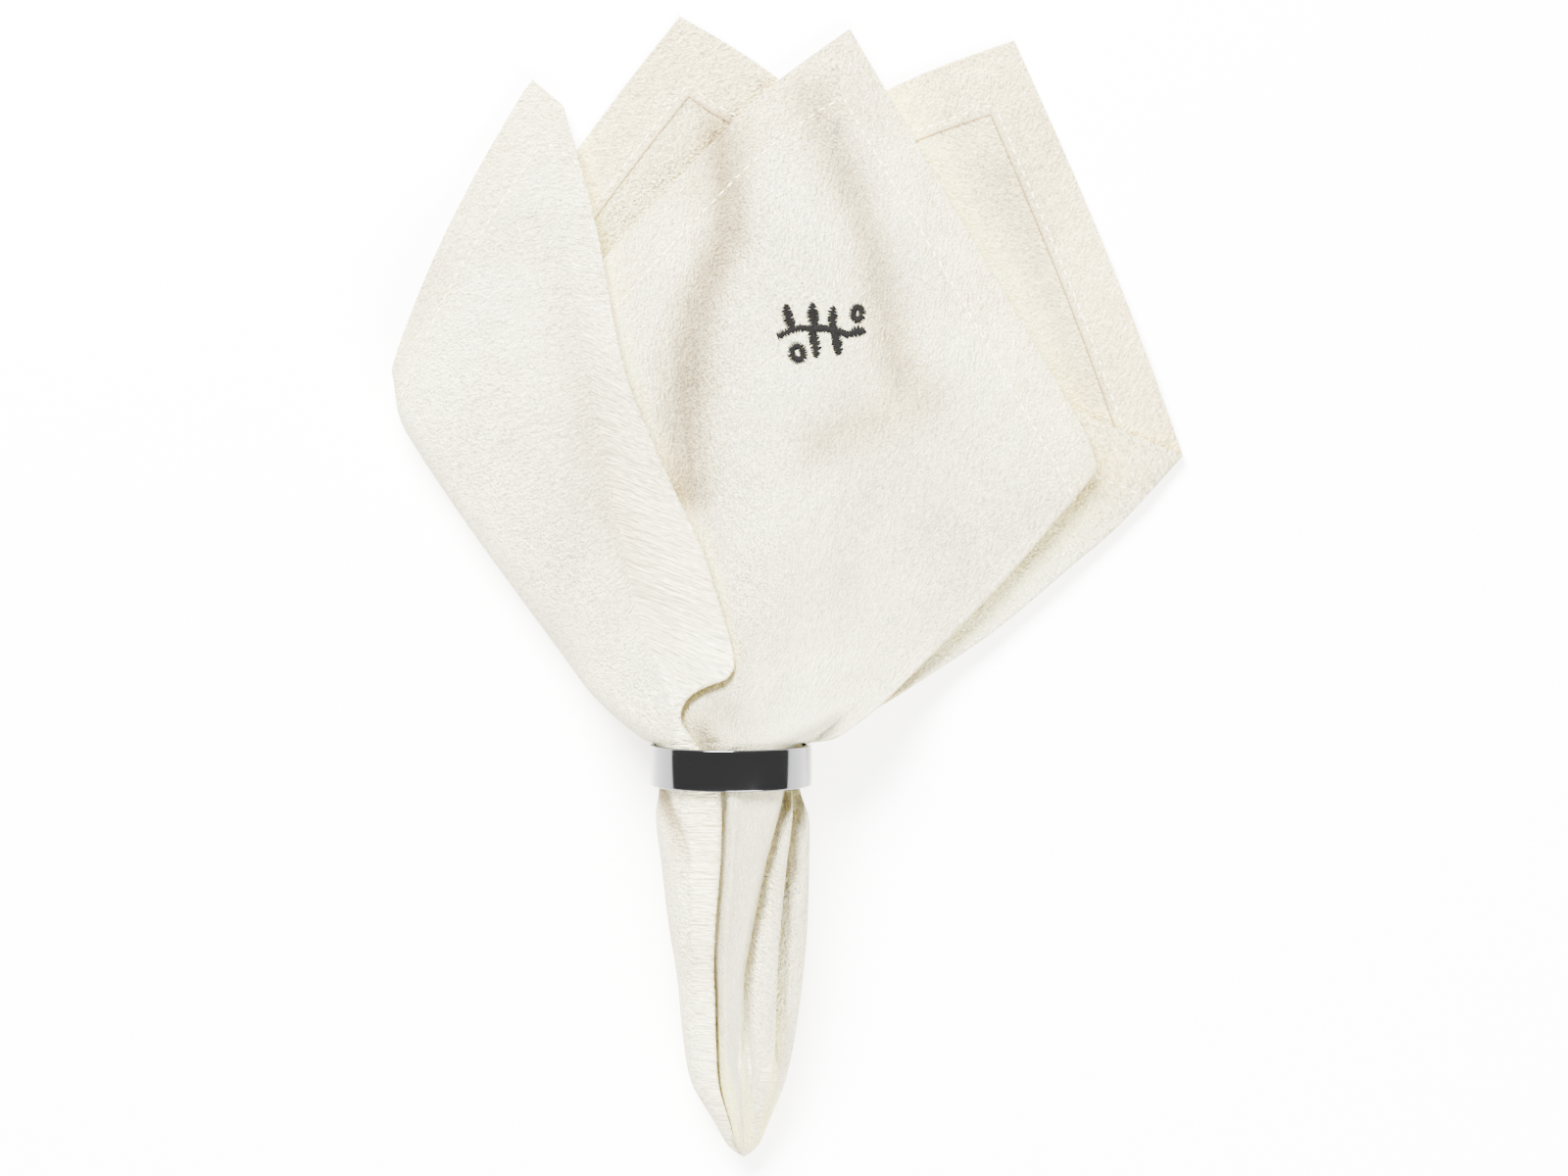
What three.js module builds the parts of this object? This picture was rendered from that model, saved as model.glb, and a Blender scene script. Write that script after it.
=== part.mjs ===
// A square cloth napkin, pinched at its middle and drawn through a ring, lying flat on a table.
// Below the ring hangs the pinched tail, above it the four corners open as a fan of twelve folded layers.
// Units are millimetres. X is across, Y along the napkin (fan end positive), Z up from the table.
//
// How the cloth is made: sixteen rays run from the pinch point to the napkin's edge, one along each
// fold and one to each corner. A table gives each ray its course in plan. Between two folds lies one
// layer, and each layer's height is counted up from the layers that lie below it at that place.
import * as THREE from 'three';
import { mergeVertices } from 'three/addons/utils/BufferGeometryUtils.js';

// Driving sizes
const CLOTH = 1.0; // thickness of the solid sheet
const TAIL_LENGTH = 103.4; // from the ring's upper rim to the tip

const RING = { outer: 20, wall: 1.2, height: 10.2, tilt: 3.5, lip: 0.35, sides: 72 };
const RING_AXIS_Z = 20.3; // height of the ring's axis at its middle
const BUNDLE = RING.outer - RING.wall - 0.9; // half the cloth's width in the ring, at mid cloth

// Helpers
const { min, max, abs, sin, cos, PI, hypot, sqrt } = Math;
const lerp = (a, b, t) => a + (b - a) * t;
const clamp = (v, lo, hi) => max(lo, min(hi, v));
const smooth = (lo, hi, v) => {
  const t = clamp((v - lo) / (hi - lo), 0, 1);
  return t * t * (3 - 2 * t);
};

/** Smooth curve through the rows of a table; each row is [parameter, value, value, ...]. */
function along(rows, t) {
  const last = rows.length - 1;
  const at = clamp(t, rows[0][0], rows[last][0]);
  let i = 0;
  while (i < last - 1 && rows[i + 1][0] < at) i += 1;
  const slope = (k, c) => {
    const a = rows[max(k - 1, 0)];
    const b = rows[min(k + 1, last)];
    return (b[c] - a[c]) / (b[0] - a[0]);
  };
  const h = rows[i + 1][0] - rows[i][0];
  const s = (at - rows[i][0]) / h;
  return rows[i].slice(1).map((from, n) => {
    const c = n + 1;
    const to = rows[i + 1][c];
    return from * (1 + 2 * s) * (1 - s) ** 2 + to * s * s * (3 - 2 * s)
      + h * (slope(i, c) * s * (1 - s) ** 2 - slope(i + 1, c) * s * s * (1 - s));
  });
}

// The tail and the ring
// One row for each cross-section, from the tip to the ring's upper rim. `out` is the length of cloth
// from the pinch, then the section's place, its outline, and where its three open creases lie.
const SECTIONS = [
  // out     y    left  right bottom  top  crease crease crease
  [0, -103.4, 2.6, 3.8, 2.6, 5.6, 3.0, 3.4, 3.6],
  [6, -100.6, -1.2, 7.2, 1.2, 9.0, 1.6, 4.2, 6.0],
  [14, -94.0, -4.9, 10.1, 0.4, 13.0, 0.2, 4.2, 8.2],
  [25, -84.5, -10.3, 13.9, 0.0, 17.5, -0.8, 3.4, 10.8],
  [37, -73.0, -12.4, 16.4, 0.0, 22.0, -2.8, 2.8, 11.9],
  [51, -59.0, -13.7, 18.3, 0.0, 27.0, -4.0, 3.2, 11.6],
  [65.5, -44.6, -15.9, 19.5, 0.0, 31.0, -3.6, 5.6, 12.4],
  [80, -30.0, -17.6, 19.9, 0.2, 34.5, -2.4, 8.6, 13.8],
  [92, -18.0, -19.0, 19.8, 0.8, 37.2, -2.0, 11.6, 15.2],
  [99, -11.0, -18.3, 17.6, 1.7, 38.2, -2.4, 13.2, 15.2],
  [105, -5.0, -18.4, 17.4, 1.9, 38.7, -4.0, 13.6, 15.4],
  [110, 0.0, -18.4, 17.8, 2.2, 39.0, -4.4, 14.0, 15.6],
];
const TAIL_OUT = 110; // length of cloth from the pinch to the ring's upper rim
const PLEATS_START = 10; // near the tip the section is round,
const PLEATS_FULL = 64; // and from here on its pleats are full

function tailSection(out) {
  const [y, left, right, bottom, top, c1, c2, c3] = along(SECTIONS, out);
  const half = CLOTH / 2;
  const deep = smooth(PLEATS_START, PLEATS_FULL, out); // how far the pleats have opened from the tip on
  const hook = smooth(90, 107, out); // the tuck under the front panel starts inside the ring
  const outline = { left: left + half, right: right - half, bottom: bottom + half, top: top - half };
  return { y, ...outline, c1, c2, c3, deep, hook, tuck: smooth(80, 99, out) };
}

// The rays
// Each is named after the side of the napkin that it runs to, a to d clockwise, or its corner, C1 to C4.
// X: its place across a tail section. end: where it meets the napkin's edge, in plan.
const tuck = (s, shallow, deep) => lerp(shallow, deep, s.deep);
const X = {
  d3: (s) => s.left,
  C1: (s) => lerp(s.left, s.c1, 0.72),
  a1: (s) => s.c1,
  a2: (s) => lerp(s.c1, s.left, tuck(s, -0.3, 0.55)),
  a3: (s) => lerp(lerp(X.a2(s), s.c2, 0.18), lerp(X.a2(s), s.c1, 0.78), s.hook),
  a4: (s) => lerp(lerp(X.a2(s), s.c2, 0.4), lerp(X.a2(s), s.c1, 0.3), s.hook),
  C3: (s) => lerp(X.a4(s), s.c2, 0.55),
  b1: (s) => s.c2,
  b2: (s) => lerp(s.c2, s.c1, tuck(s, -0.3, 0.62)),
  b3: (s) => s.c3,
  C4: (s) => lerp(s.c3, X.c1(s), 0.5),
  c1: (s) => lerp(s.c3, s.left, tuck(s, -0.2, 0.68)),
  c2: (s) => s.right,
  C2: (s) => lerp(s.right, X.d1(s), 0.5),
  d1: (s) => X.d2(s) - (s.right - s.left) * tuck(s, -0.15, 0.56),
  d2: (s) => lerp(s.left, s.right, 0.8),
};
const RAYS = [
  { name: 'd3', end: [-84.4, 92.0], fold: true },
  { name: 'C1', end: [-49.0, 164.6] },
  { name: 'a1', end: [-41.7, 158.3], fold: true },
  { name: 'a2', end: [-73.5, 92.3], fold: true },
  { name: 'a3', end: [30.0, 97.0], fold: true },
  { name: 'a4', end: [-57.7, 88.9], fold: true },
  { name: 'C3', end: [29.8, 177.1] },
  { name: 'b1', end: [92.4, 69.0], fold: true },
  { name: 'b2', end: [30.0, 105.0], fold: true },
  { name: 'b3', end: [112.7, 71.2], fold: true },
  { name: 'C4', end: [70.7, 174.4] },
  { name: 'c1', end: [-49.9, 107.0], fold: true },
  { name: 'c2', end: [83.2, 89.2], fold: true },
  { name: 'C2', end: [-12.4, 180.5] },
  { name: 'd1', end: [-75.3, 96.5], fold: true },
  { name: 'd2', end: [26.2, 91.3], fold: true },
];

// Plan courses above the ring of the folds that bend: rows are [share of the way, x, y].
const BENDS = {
  d3: [[0.2, -38.0, 16.3], [0.82, -80.5, 76.5]],
  a1: [[0.12, 0.0, 19.0], [0.28, -6.3, 45.6], [0.42, -16.1, 67.6], [0.58, -25.9, 92.0], [0.81, -33.7, 129.8]],
  b3: [[0.17, 40.0, 11.5], [0.74, 96.1, 48.0]],
};
const FLARE = { share: 0.2, across: 0.3, along: 0.18 }; // the first turn outwards of the other rays

for (const ray of RAYS) {
  const start = tailSection(TAIL_OUT);
  const below = tailSection(TAIL_OUT - 11);
  const x0 = X[ray.name](start);
  const [ex, ey] = ray.end;
  const first = [[FLARE.share, lerp(x0, ex, FLARE.across), ey * FLARE.along]];
  const bends = BENDS[ray.name] ?? first;
  ray.plan = [[-0.07, X[ray.name](below), below.y], [0, x0, start.y], ...bends, [1, ex, ey]];
}

/** Plan place of a ray: `station` runs 0 to 1 from the pinch to the ring's rim, then 1 to 2 to the edge. */
function rayPlan(ray, station) {
  if (station > 1) return along(ray.plan, station - 1);
  const s = tailSection(station * TAIL_OUT);
  return [X[ray.name](s), s.y];
}

// The layers
// Each layer runs from one fold to the next, over a corner where there is one.
const LAYERS = [];
RAYS.forEach((ray, i) => {
  if (!ray.fold) return;
  const next = RAYS[(i + 1) % RAYS.length];
  const rays = next.fold ? [ray, next] : [ray, next, RAYS[(i + 2) % RAYS.length]];
  LAYERS.push({ rays, corner: !next.fold });
});
// Their order in the pile, top first. The second fold wraps round the front panel's own fold.
const PILE = [0, 1, 4, 3, 2, 5, 6, 7, 8, 9, 10, 11];
PILE.forEach((layer, place) => { LAYERS[layer].place = place; });
// In the tail the skin is made of some layers, each parted by a hidden pleat from the skin layer over it.
// Towards the tip the pleats run out and the skin closes up. The tuck's two layers run out sooner.
const TUCK = [2, 3];
const PLEATS = [1, 5, 7, 10];
const SKIN = [[4, 0], [6, 4], [8, 6], [11, 9]];
SKIN.forEach(([skin, over], i) => Object.assign(LAYERS[skin], { over, pleat: PLEATS[i] }));

const TAIL_STATIONS = 13;
const TIP_FROM = 4; // the first tail station with its pleats in full
const FAN_SHARES = [0.02, 0.045, 0.075, 0.11, 0.15, 0.2, 0.26, 0.33, 0.41, 0.5, 0.6, 0.7, 0.8, 0.9, 1];
const STATIONS = [];
for (let i = 1; i <= TAIL_STATIONS; i += 1) STATIONS.push((i / TAIL_STATIONS) ** 0.9);
const tuckOpens = TAIL_STATIONS - 2; // one more station where the tuck opens
STATIONS.splice(tuckOpens, 0, (STATIONS[tuckOpens - 1] + STATIONS[tuckOpens]) / 2);
FAN_SHARES.forEach((share) => STATIONS.push(1 + share));

for (const layer of LAYERS) {
  const [from, to] = [layer.rays[0], layer.rays[layer.rays.length - 1]];
  const up = STATIONS.map((s) => rayPlan(from, s));
  const down = STATIONS.map((s) => rayPlan(to, s)).reverse();
  const corner = layer.corner ? [layer.rays[1].end] : [];
  layer.outline = [...up, ...corner, ...down];
}

/** Distance from a point to a layer's outline in plan, 0 inside it. */
function outside(outline, x, y) {
  let inside = false;
  let best = Infinity;
  for (let i = 0, j = outline.length - 1; i < outline.length; j = i, i += 1) {
    const [ax, ay] = outline[i];
    const [bx, by] = outline[j];
    if (ay > y !== by > y && x < ax + ((y - ay) / (by - ay)) * (bx - ax)) inside = !inside;
    const [dx, dy] = [bx - ax, by - ay];
    const t = clamp(((x - ax) * dx + (y - ay) * dy) / (dx * dx + dy * dy + 1e-9), 0, 1);
    best = min(best, hypot(x - ax - dx * t, y - ay - dy * t));
  }
  return inside ? 0 : best;
}

// Above the ring: rows of [distance from the ring's rim, height of one layer, reach of its drape].
const LOOSENESS = [
  [0, 3.3, 7],
  [15, 3.2, 10],
  [30, 2.85, 16],
  [55, 2.55, 28],
  [90, 2.35, 42],
  [130, 2.15, 50],
  [200, 2.05, 50],
];
const FLOOR_RISE = [[-12, 1.9], [0, 1.7], [14, 0.8], [30, 0]]; // the underside's rise into the ring

/** Heights at one plan place: layer number to height at mid cloth. */
function heights(x, y) {
  const s = tailSectionAtY(y);
  const reach = y > 0 ? hypot(x, y) : 0;
  const [pitch, looseDrape] = along(LOOSENESS, reach);
  const drape = y > 0 ? looseDrape : min(looseDrape, 0.3 * (s.right - s.left));
  const reaches = LAYERS.map(({ outline }) => 1 - smooth(0, drape, outside(outline, x, y)));
  // until the tuck opens, its layers are one skin with the front panel
  if (y <= 0) reaches[4] = max(reaches[4], (1 - s.tuck) * max(...TUCK.map((i) => reaches[i])));
  const there = LAYERS.map(({ pleat, over }, i) => {
    if (y > 0) return reaches[i];
    if (over === undefined) return reaches[i] * fullness(i, s);
    return reaches[i] * (1 - reaches[over] * (1 - fullness(pleat, s)));
  });
  const below = LAYERS.map((layer) => LAYERS.reduce(
    (sum, other, i) => (other.place > layer.place ? sum + there[i] : sum), 0));
  const all = max(there.reduce((a, b) => a + b, 0) - 1, 1);
  const middle = (s.left + s.right) / 2;
  const shoulder = ((s.right - s.left) / 2) * 1.05 + 1.4 * max(y, 0);
  const chord = sqrt(max(1 - ((x - middle) / shoulder) ** 2, 0.04));
  const mid = (s.top + s.bottom) / 2;
  const rise = (s.top - s.bottom) / 2;
  const loose = smooth(0, 22, y);
  const floor = along(FLOOR_RISE, y)[0] + CLOTH / 2;
  return below.map((rank) => {
    const packed = mid + rise * chord * ((2 * rank) / all - 1);
    return lerp(packed, floor + pitch * rank, loose);
  });
}

/** 1 where a layer is a full pleat of the tail, 0 where it has run out towards the tip. */
function fullness(index, s) {
  if (TUCK.includes(index)) return s.tuck;
  if (!PLEATS.includes(index)) return 1;
  const { rays } = LAYERS[index];
  const overlap = (X[rays[0].name](s) - X[rays[1].name](s)) * (index === 10 ? -1 : 1);
  return smooth(-3, 1.5, overlap);
}

function tailSectionAtY(y) {
  let [lo, hi] = [0, TAIL_OUT];
  for (let i = 0; i < 30; i += 1) {
    const mid = (lo + hi) / 2;
    if (along(SECTIONS, mid)[0] < y) lo = mid;
    else hi = mid;
  }
  return tailSection((lo + hi) / 2);
}

// The folded cloth
const TURN_STEPS = 2; // facets in half a fold's turn
const FLAT_STEPS = 3; // facets across a layer, or each side of a corner

/** Where a walk along the plan points `line` has got to after `length`. */
function walk(line, length) {
  let rest = length;
  for (let i = 0; i < line.length - 1; i += 1) {
    const [a, b] = [line[i], line[i + 1]];
    const step = hypot(b[0] - a[0], b[1] - a[1]) || 1e-9;
    if (rest <= step || i === line.length - 2) {
      const t = clamp(rest / step, 0, 1);
      return { x: lerp(a[0], b[0], t), y: lerp(a[1], b[1], t), from: i, share: t };
    }
    rest -= step;
  }
  return null;
}

function layerWidth(index, station) {
  const line = LAYERS[index].rays.map((ray) => rayPlan(ray, station));
  return line.slice(1).reduce((sum, p, i) => sum + hypot(p[0] - line[i][0], p[1] - line[i][1]), 0);
}

/** One layer at one station, as points at mid cloth. The last point is left to the next layer. */
function layerPoints(index, station) {
  const layer = LAYERS[index];
  const line = layer.rays.map((ray) => rayPlan(ray, station));
  const steps = line.slice(1).map((p, i) => hypot(p[0] - line[i][0], p[1] - line[i][1]));
  const width = steps.reduce((a, b) => a + b, 0);
  const before = (index + LAYERS.length - 1) % LAYERS.length;
  const after = (index + 1) % LAYERS.length;

  // each end turns over in half a circle, as high as the two layers that it joins are apart
  const turn = (end, other, room) => {
    const h = heights(end[0], end[1]);
    const cap = (0.8 * room) / (PI / 2);
    const radius = min(max(abs(h[index] - h[other]) / 2, 0.5), cap);
    return { other, radius, length: (radius * PI) / 2 };
  };
  const first = turn(line[0], before, min(layerWidth(before, station), width, 2.2 * steps[0]) / 2);
  const last = turn(line[line.length - 1], after,
    min(layerWidth(after, station), width, 2.2 * steps[steps.length - 1]) / 2);

  const places = [];
  for (let i = 0; i < TURN_STEPS; i += 1) places.push((first.length * i) / TURN_STEPS);
  const corner = layer.corner ? [max(steps[0], first.length + 0.02)] : [];
  const stops = [first.length, ...corner, width - last.length];
  for (let s = 0; s < stops.length - 1; s += 1) {
    // closer together beside a fold, where the height changes most
    for (let i = 0; i < FLAT_STEPS; i += 1) {
      const t = i / FLAT_STEPS;
      const near = layer.corner ? (s ? 1 - (1 - t) ** 1.2 : t ** 1.2) : t;
      places.push(lerp(stops[s], stops[s + 1], near));
    }
  }
  for (let i = 0; i < TURN_STEPS; i += 1) places.push(width - last.length + (last.length * i) / TURN_STEPS);

  return places.map((place) => {
    const fromEnd = width - place;
    const near = place < fromEnd ? first : last;
    const d = min(place, fromEnd);
    const angle = min(d / near.radius, PI / 2);
    let across = near.radius * (1 - cos(angle));
    if (d > near.length) {
      across = near.radius + ((d - near.length) * (width / 2 - near.radius)) / (width / 2 - near.length);
    }
    const p = walk(line, place < fromEnd ? across : width - across);
    const h = heights(p.x, p.y);
    const joint = (h[index] + h[near.other]) / 2;
    return holdInRing([p.x, p.y, lerp(joint, h[index], sin(angle))]);
  });
}

/** The ring holds the bundle in a circle, and the hold lets go on both sides of it. */
function holdInRing([x, y, z]) {
  const middle = -RING.height / 2;
  const hold = 1 - smooth(RING.height / 2 + 0.5, RING.height / 2 + 7, abs(y - middle));
  if (hold <= 0) return [x, y, z];
  const axis = RING_AXIS_Z + (y - middle) * Math.tan((RING.tilt * PI) / 180);
  const r = hypot(x, z - axis);
  const soft = BUNDLE - 2.2;
  const held = r <= soft ? r : soft + 2.2 * Math.tanh((r - soft) / 2.2);
  const k = lerp(1, held / max(r, 1e-6), hold);
  return [x * k, y, axis + (z - axis) * k];
}

/** Towards the tip the pleats run out: its sections are the full one at TIP_FROM, eased to a plain round. */
function easeTip(loops) {
  const full = loops[TIP_FROM];
  const frame = (station) => {
    const s = tailSection(station * TAIL_OUT);
    const [wide, high] = [(s.right - s.left) / 2, (s.top - s.bottom) / 2];
    return { x: s.left + wide, y: s.y, z: s.bottom + high, wide, high };
  };
  const from = frame(STATIONS[TIP_FROM]);
  const unit = full.map(([x, , z]) => [(x - from.x) / from.wide, (z - from.z) / from.high]);
  // points on the outside keep their angle in the plain section, those in a pleat are spread between them
  const skin = [];
  unit.forEach(([x, z], j) => {
    const last = skin[skin.length - 1] ?? { angle: Math.atan2(z, x) + 1e-3 };
    const turn = Math.atan2(z, x) - last.angle;
    const step = Math.atan2(sin(turn), cos(turn));
    if (hypot(x, z) > 0.8 && step < 0) skin.push({ j, angle: last.angle + step });
  });
  skin.push({ j: skin[0].j + unit.length, angle: skin[0].angle - 2 * PI });
  const plain = unit.map((_, j) => {
    const k = max(skin.findIndex((point) => point.j > j), 1);
    const [a, b] = [skin[k - 1], skin[k]];
    return lerp(a.angle, b.angle, (j - a.j) / (b.j - a.j));
  });
  for (let i = 0; i < TIP_FROM; i += 1) {
    const to = frame(STATIONS[i]);
    const pleated = smooth(0, TIP_FROM, i);
    loops[i] = unit.map(([x, z], j) => {
      const even = plain[0] - (2 * PI * j) / unit.length;
      const angle = lerp(lerp(plain[j], even, 0.25), plain[j], pleated);
      const across = to.wide * lerp(cos(angle), x, pleated);
      const up = to.high * lerp(sin(angle), z, pleated);
      return [to.x + across, to.y, to.z + up];
    });
  }
}

function foldedCloth() {
  const loops = STATIONS.map((station) => LAYERS.flatMap((_, i) => layerPoints(i, station)));
  const count = loops[0].length;
  easeTip(loops);
  const grid = loops.map((loop) => loop.map((p) => new THREE.Vector3(...p)));
  const at = (i, j) => grid[i][(j + count) % count];
  const tipNormal = new THREE.Vector3(0, 1, 0); // like the others, it points into the bundle
  const tip = new THREE.Vector3(3.2, -TAIL_LENGTH, 4.1);
  // the next point along a loop that isn't closer than most of the cloth's thickness
  const past = (i, j, step) => {
    let k = step;
    while (abs(k) < 5 && at(i, j + k).distanceTo(at(i, j)) < 0.6 * CLOTH) k += step;
    return at(i, j + k).clone();
  };
  const normals = grid.map((loop, i) => loop.map((_, j) => {
    const round = past(i, j, 1).sub(past(i, j, -1));
    const outward = at(min(i + 1, grid.length - 1), j).clone().sub(i ? at(i - 1, j) : tip);
    return outward.cross(round).normalize();
  }));

  const vertices = [];
  const triangles = [];
  const add = (p, n, side) => vertices.push(
    p.x + (n.x * side * CLOTH) / 2, p.y + (n.y * side * CLOTH) / 2, p.z + (n.z * side * CLOTH) / 2);
  for (const side of [1, -1]) {
    add(tip, tipNormal, side);
    grid.forEach((loop, i) => loop.forEach((p, j) => add(p, normals[i][j], side)));
  }
  const shell = 1 + grid.length * count;
  const id = (side, i, j) => (side > 0 ? 0 : shell) + 1 + i * count + ((j + count) % count);
  const face = (side, a, b, c) => triangles.push(...(side > 0 ? [a, b, c] : [a, c, b]));
  for (const side of [1, -1]) {
    for (let j = 0; j < count; j += 1) {
      face(side, side > 0 ? 0 : shell, id(side, 0, j), id(side, 0, j + 1));
      for (let i = 0; i < grid.length - 1; i += 1) {
        const [a, b, c, d] = [id(side, i, j), id(side, i + 1, j), id(side, i + 1, j + 1), id(side, i, j + 1)];
        face(side, a, b, c);
        face(side, a, c, d);
      }
    }
  }
  const rim = grid.length - 1;
  for (let j = 0; j < count; j += 1) {
    const [a, b, c, d] = [id(1, rim, j), id(-1, rim, j), id(-1, rim, j + 1), id(1, rim, j + 1)];
    face(1, a, b, c);
    face(1, a, c, d);
  }
  const geometry = new THREE.BufferGeometry();
  geometry.setAttribute('position', new THREE.Float32BufferAttribute(vertices, 3));
  geometry.setIndex(triangles);
  return geometry;
}

// The ring
function ringBand() {
  const { outer, wall, height, lip, sides } = RING;
  const inner = outer - wall;
  const h = height / 2;
  const profile = [
    [inner, -h + lip], [inner + lip, -h], [outer - lip, -h], [outer, -h + lip],
    [outer, h - lip], [outer - lip, h], [inner + lip, h], [inner, h - lip], [inner, -h + lip],
  ].map(([r, y]) => new THREE.Vector2(r, y));
  const band = new THREE.LatheGeometry(profile, sides);
  band.deleteAttribute('normal');
  band.deleteAttribute('uv');
  return mergeVertices(band, 1e-4);
}

// Assembly
const cloth = new THREE.Mesh(foldedCloth(), new THREE.MeshStandardMaterial({
  name: 'ivory_cotton', color: 0xf3efe2, roughness: 0.92, metalness: 0,
}));
cloth.name = 'napkin';

const ring = new THREE.Mesh(ringBand(), new THREE.MeshStandardMaterial({
  name: 'polished_steel', color: 0xc8c8c8, roughness: 0.12, metalness: 1,
}));
ring.name = 'ring';
ring.rotation.x = (RING.tilt * PI) / 180;
ring.position.set(0, -RING.height / 2, RING_AXIS_Z);

const napkinInRing = new THREE.Group();
napkinInRing.name = 'napkin_in_ring';
napkinInRing.add(cloth, ring);

// Set down with the middle of its box over the origin and its lowest point on the table.
const box = new THREE.Box3().setFromObject(napkinInRing, true);
napkinInRing.position.set(-(box.min.x + box.max.x) / 2, -(box.min.y + box.max.y) / 2, -box.min.z);
napkinInRing.updateMatrixWorld(true);

export default napkinInRing;
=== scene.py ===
# %% [markdown]
# # A cloth napkin in a ring
# A square of ivory crinkled cotton is pinched near its middle and drawn through a polished steel ring.
# Below the ring hangs the pinched tail. Above it the four corners open as a fan of twelve folded layers.
# Two things matter here: the cloth must be one sheet that could be taken out and ironed flat again, and
# the camera looks straight down on it.

# %% Frame
import math
import bmesh
import bpy
import numpy as np
from mathutils import Matrix, Vector
from mathutils.bvhtree import BVHTree


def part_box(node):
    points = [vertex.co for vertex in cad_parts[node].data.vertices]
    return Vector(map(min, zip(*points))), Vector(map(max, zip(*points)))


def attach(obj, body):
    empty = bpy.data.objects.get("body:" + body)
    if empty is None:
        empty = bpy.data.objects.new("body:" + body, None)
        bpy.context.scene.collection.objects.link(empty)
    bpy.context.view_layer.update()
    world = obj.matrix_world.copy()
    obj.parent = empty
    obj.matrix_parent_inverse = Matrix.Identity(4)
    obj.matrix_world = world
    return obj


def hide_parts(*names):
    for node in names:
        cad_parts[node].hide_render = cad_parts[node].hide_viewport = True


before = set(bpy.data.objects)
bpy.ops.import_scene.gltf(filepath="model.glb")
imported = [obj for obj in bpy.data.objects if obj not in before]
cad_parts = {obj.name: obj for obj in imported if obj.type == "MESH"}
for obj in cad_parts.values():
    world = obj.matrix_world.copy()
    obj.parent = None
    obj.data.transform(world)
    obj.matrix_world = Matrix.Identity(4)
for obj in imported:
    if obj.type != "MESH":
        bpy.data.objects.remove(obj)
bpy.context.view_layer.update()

MM = 0.001

# %% [markdown]
# ## Where things are
# All lengths below are millimetres in the folder's own coordinates: the zero point is the middle of the
# ring's upper rim, set down on the table. X runs across, Y up the fan, Z up from the table.
# The solid ring tells where that point lies in the shared frame, so nothing has to be fitted by eye.

# %% The ring's place
RING_OUTER = 20.0
RING_WALL = 1.2
RING_HEIGHT = 10.2
RING_TILT = math.radians(3.5)
RING_AXIS_Z = 20.3
RING_MIDDLE = Vector((0.0, -RING_HEIGHT / 2, RING_AXIS_Z))

low, high = (Vector(corner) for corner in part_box("ring"))
SHIFT = (low + high) / 2 / MM - RING_MIDDLE


def place(points):
    """Folder's millimetres to metres in the shared frame."""
    return (np.asarray(points, float) + np.array(SHIFT)) * MM


print("ring middle in the frame, mm:", [round(v, 2) for v in RING_MIDDLE + SHIFT])

# %% [markdown]
# ## The flat napkin
# The napkin is 400 mm square. Its right side faces us, corner C1 top left, C3 top right, C4 bottom right
# and C2 bottom left. It was pinched a little off its middle. A place on the edge is one number, the
# distance walked from C1 clockwise. Everything that belongs to the cloth, such as hem, stitches,
# embroidery and weave, is laid out on this flat square and is carried along by the folding.

# %% Flat square
SIDE = 400.0
PINCH = np.array((-5.7, 5.7))
HEM = 12.9
CORNERS = np.array(((-200.0, 200.0), (200.0, 200.0), (200.0, -200.0), (-200.0, -200.0), (-200.0, 200.0)))


def edge_point(at):
    """Places on the napkin's edge from the distances walked round it."""
    at = np.mod(np.asarray(at, float), 4 * SIDE)
    side = np.minimum(at // SIDE, 3).astype(int)
    share = (at / SIDE - side)[..., None]
    return CORNERS[side] * (1 - share) + CORNERS[side + 1] * share


def pinch_to_side(at):
    """Square distance from the pinch to the side that an edge place is on."""
    side = np.minimum(np.mod(at, 4 * SIDE) // SIDE, 3).astype(int)
    reach = np.array((SIDE / 2 - PINCH[1], SIDE / 2 - PINCH[0], SIDE / 2 + PINCH[1], SIDE / 2 + PINCH[0]))
    return reach[side]


print("longest way from pinch to corner, mm:", round(float(np.linalg.norm(edge_point(0) - PINCH)), 1))

# %% [markdown]
# ## The tail and the ring
# A cross-section of the tail is a bundle with three open creases on its upper side. It is written down
# as a short table: one row for each section, from the tip to the ring's upper rim, each with the length
# of cloth from the pinch. A smooth curve through the rows gives every section between.

# %% Smooth tables
def along(rows, t):
    """Smooth curve through the rows of a table, each row [parameter, value, value, ...]."""
    rows = np.array(rows, float)
    key, value = rows[:, 0], rows[:, 1:]
    last = len(rows) - 1
    t = np.clip(np.asarray(t, float), key[0], key[-1])
    before = np.maximum(np.arange(last + 1) - 1, 0)
    after = np.minimum(np.arange(last + 1) + 1, last)
    slope = (value[after] - value[before]) / (key[after] - key[before])[:, None]
    i = np.clip(np.searchsorted(key, t, side="right") - 1, 0, last - 1)
    h = (key[i + 1] - key[i])[..., None]
    s = ((t - key[i])[..., None]) / h
    ends = value[i] * (1 + 2 * s) * (1 - s) ** 2 + value[i + 1] * s * s * (3 - 2 * s)
    return ends + h * (slope[i] * s * (1 - s) ** 2 - slope[i + 1] * s * s * (1 - s))


def smooth(low_end, high_end, value):
    t = np.clip((value - low_end) / (high_end - low_end), 0, 1)
    return t * t * (3 - 2 * t)


def mix(a, b, t):
    return a + (b - a) * t


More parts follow.
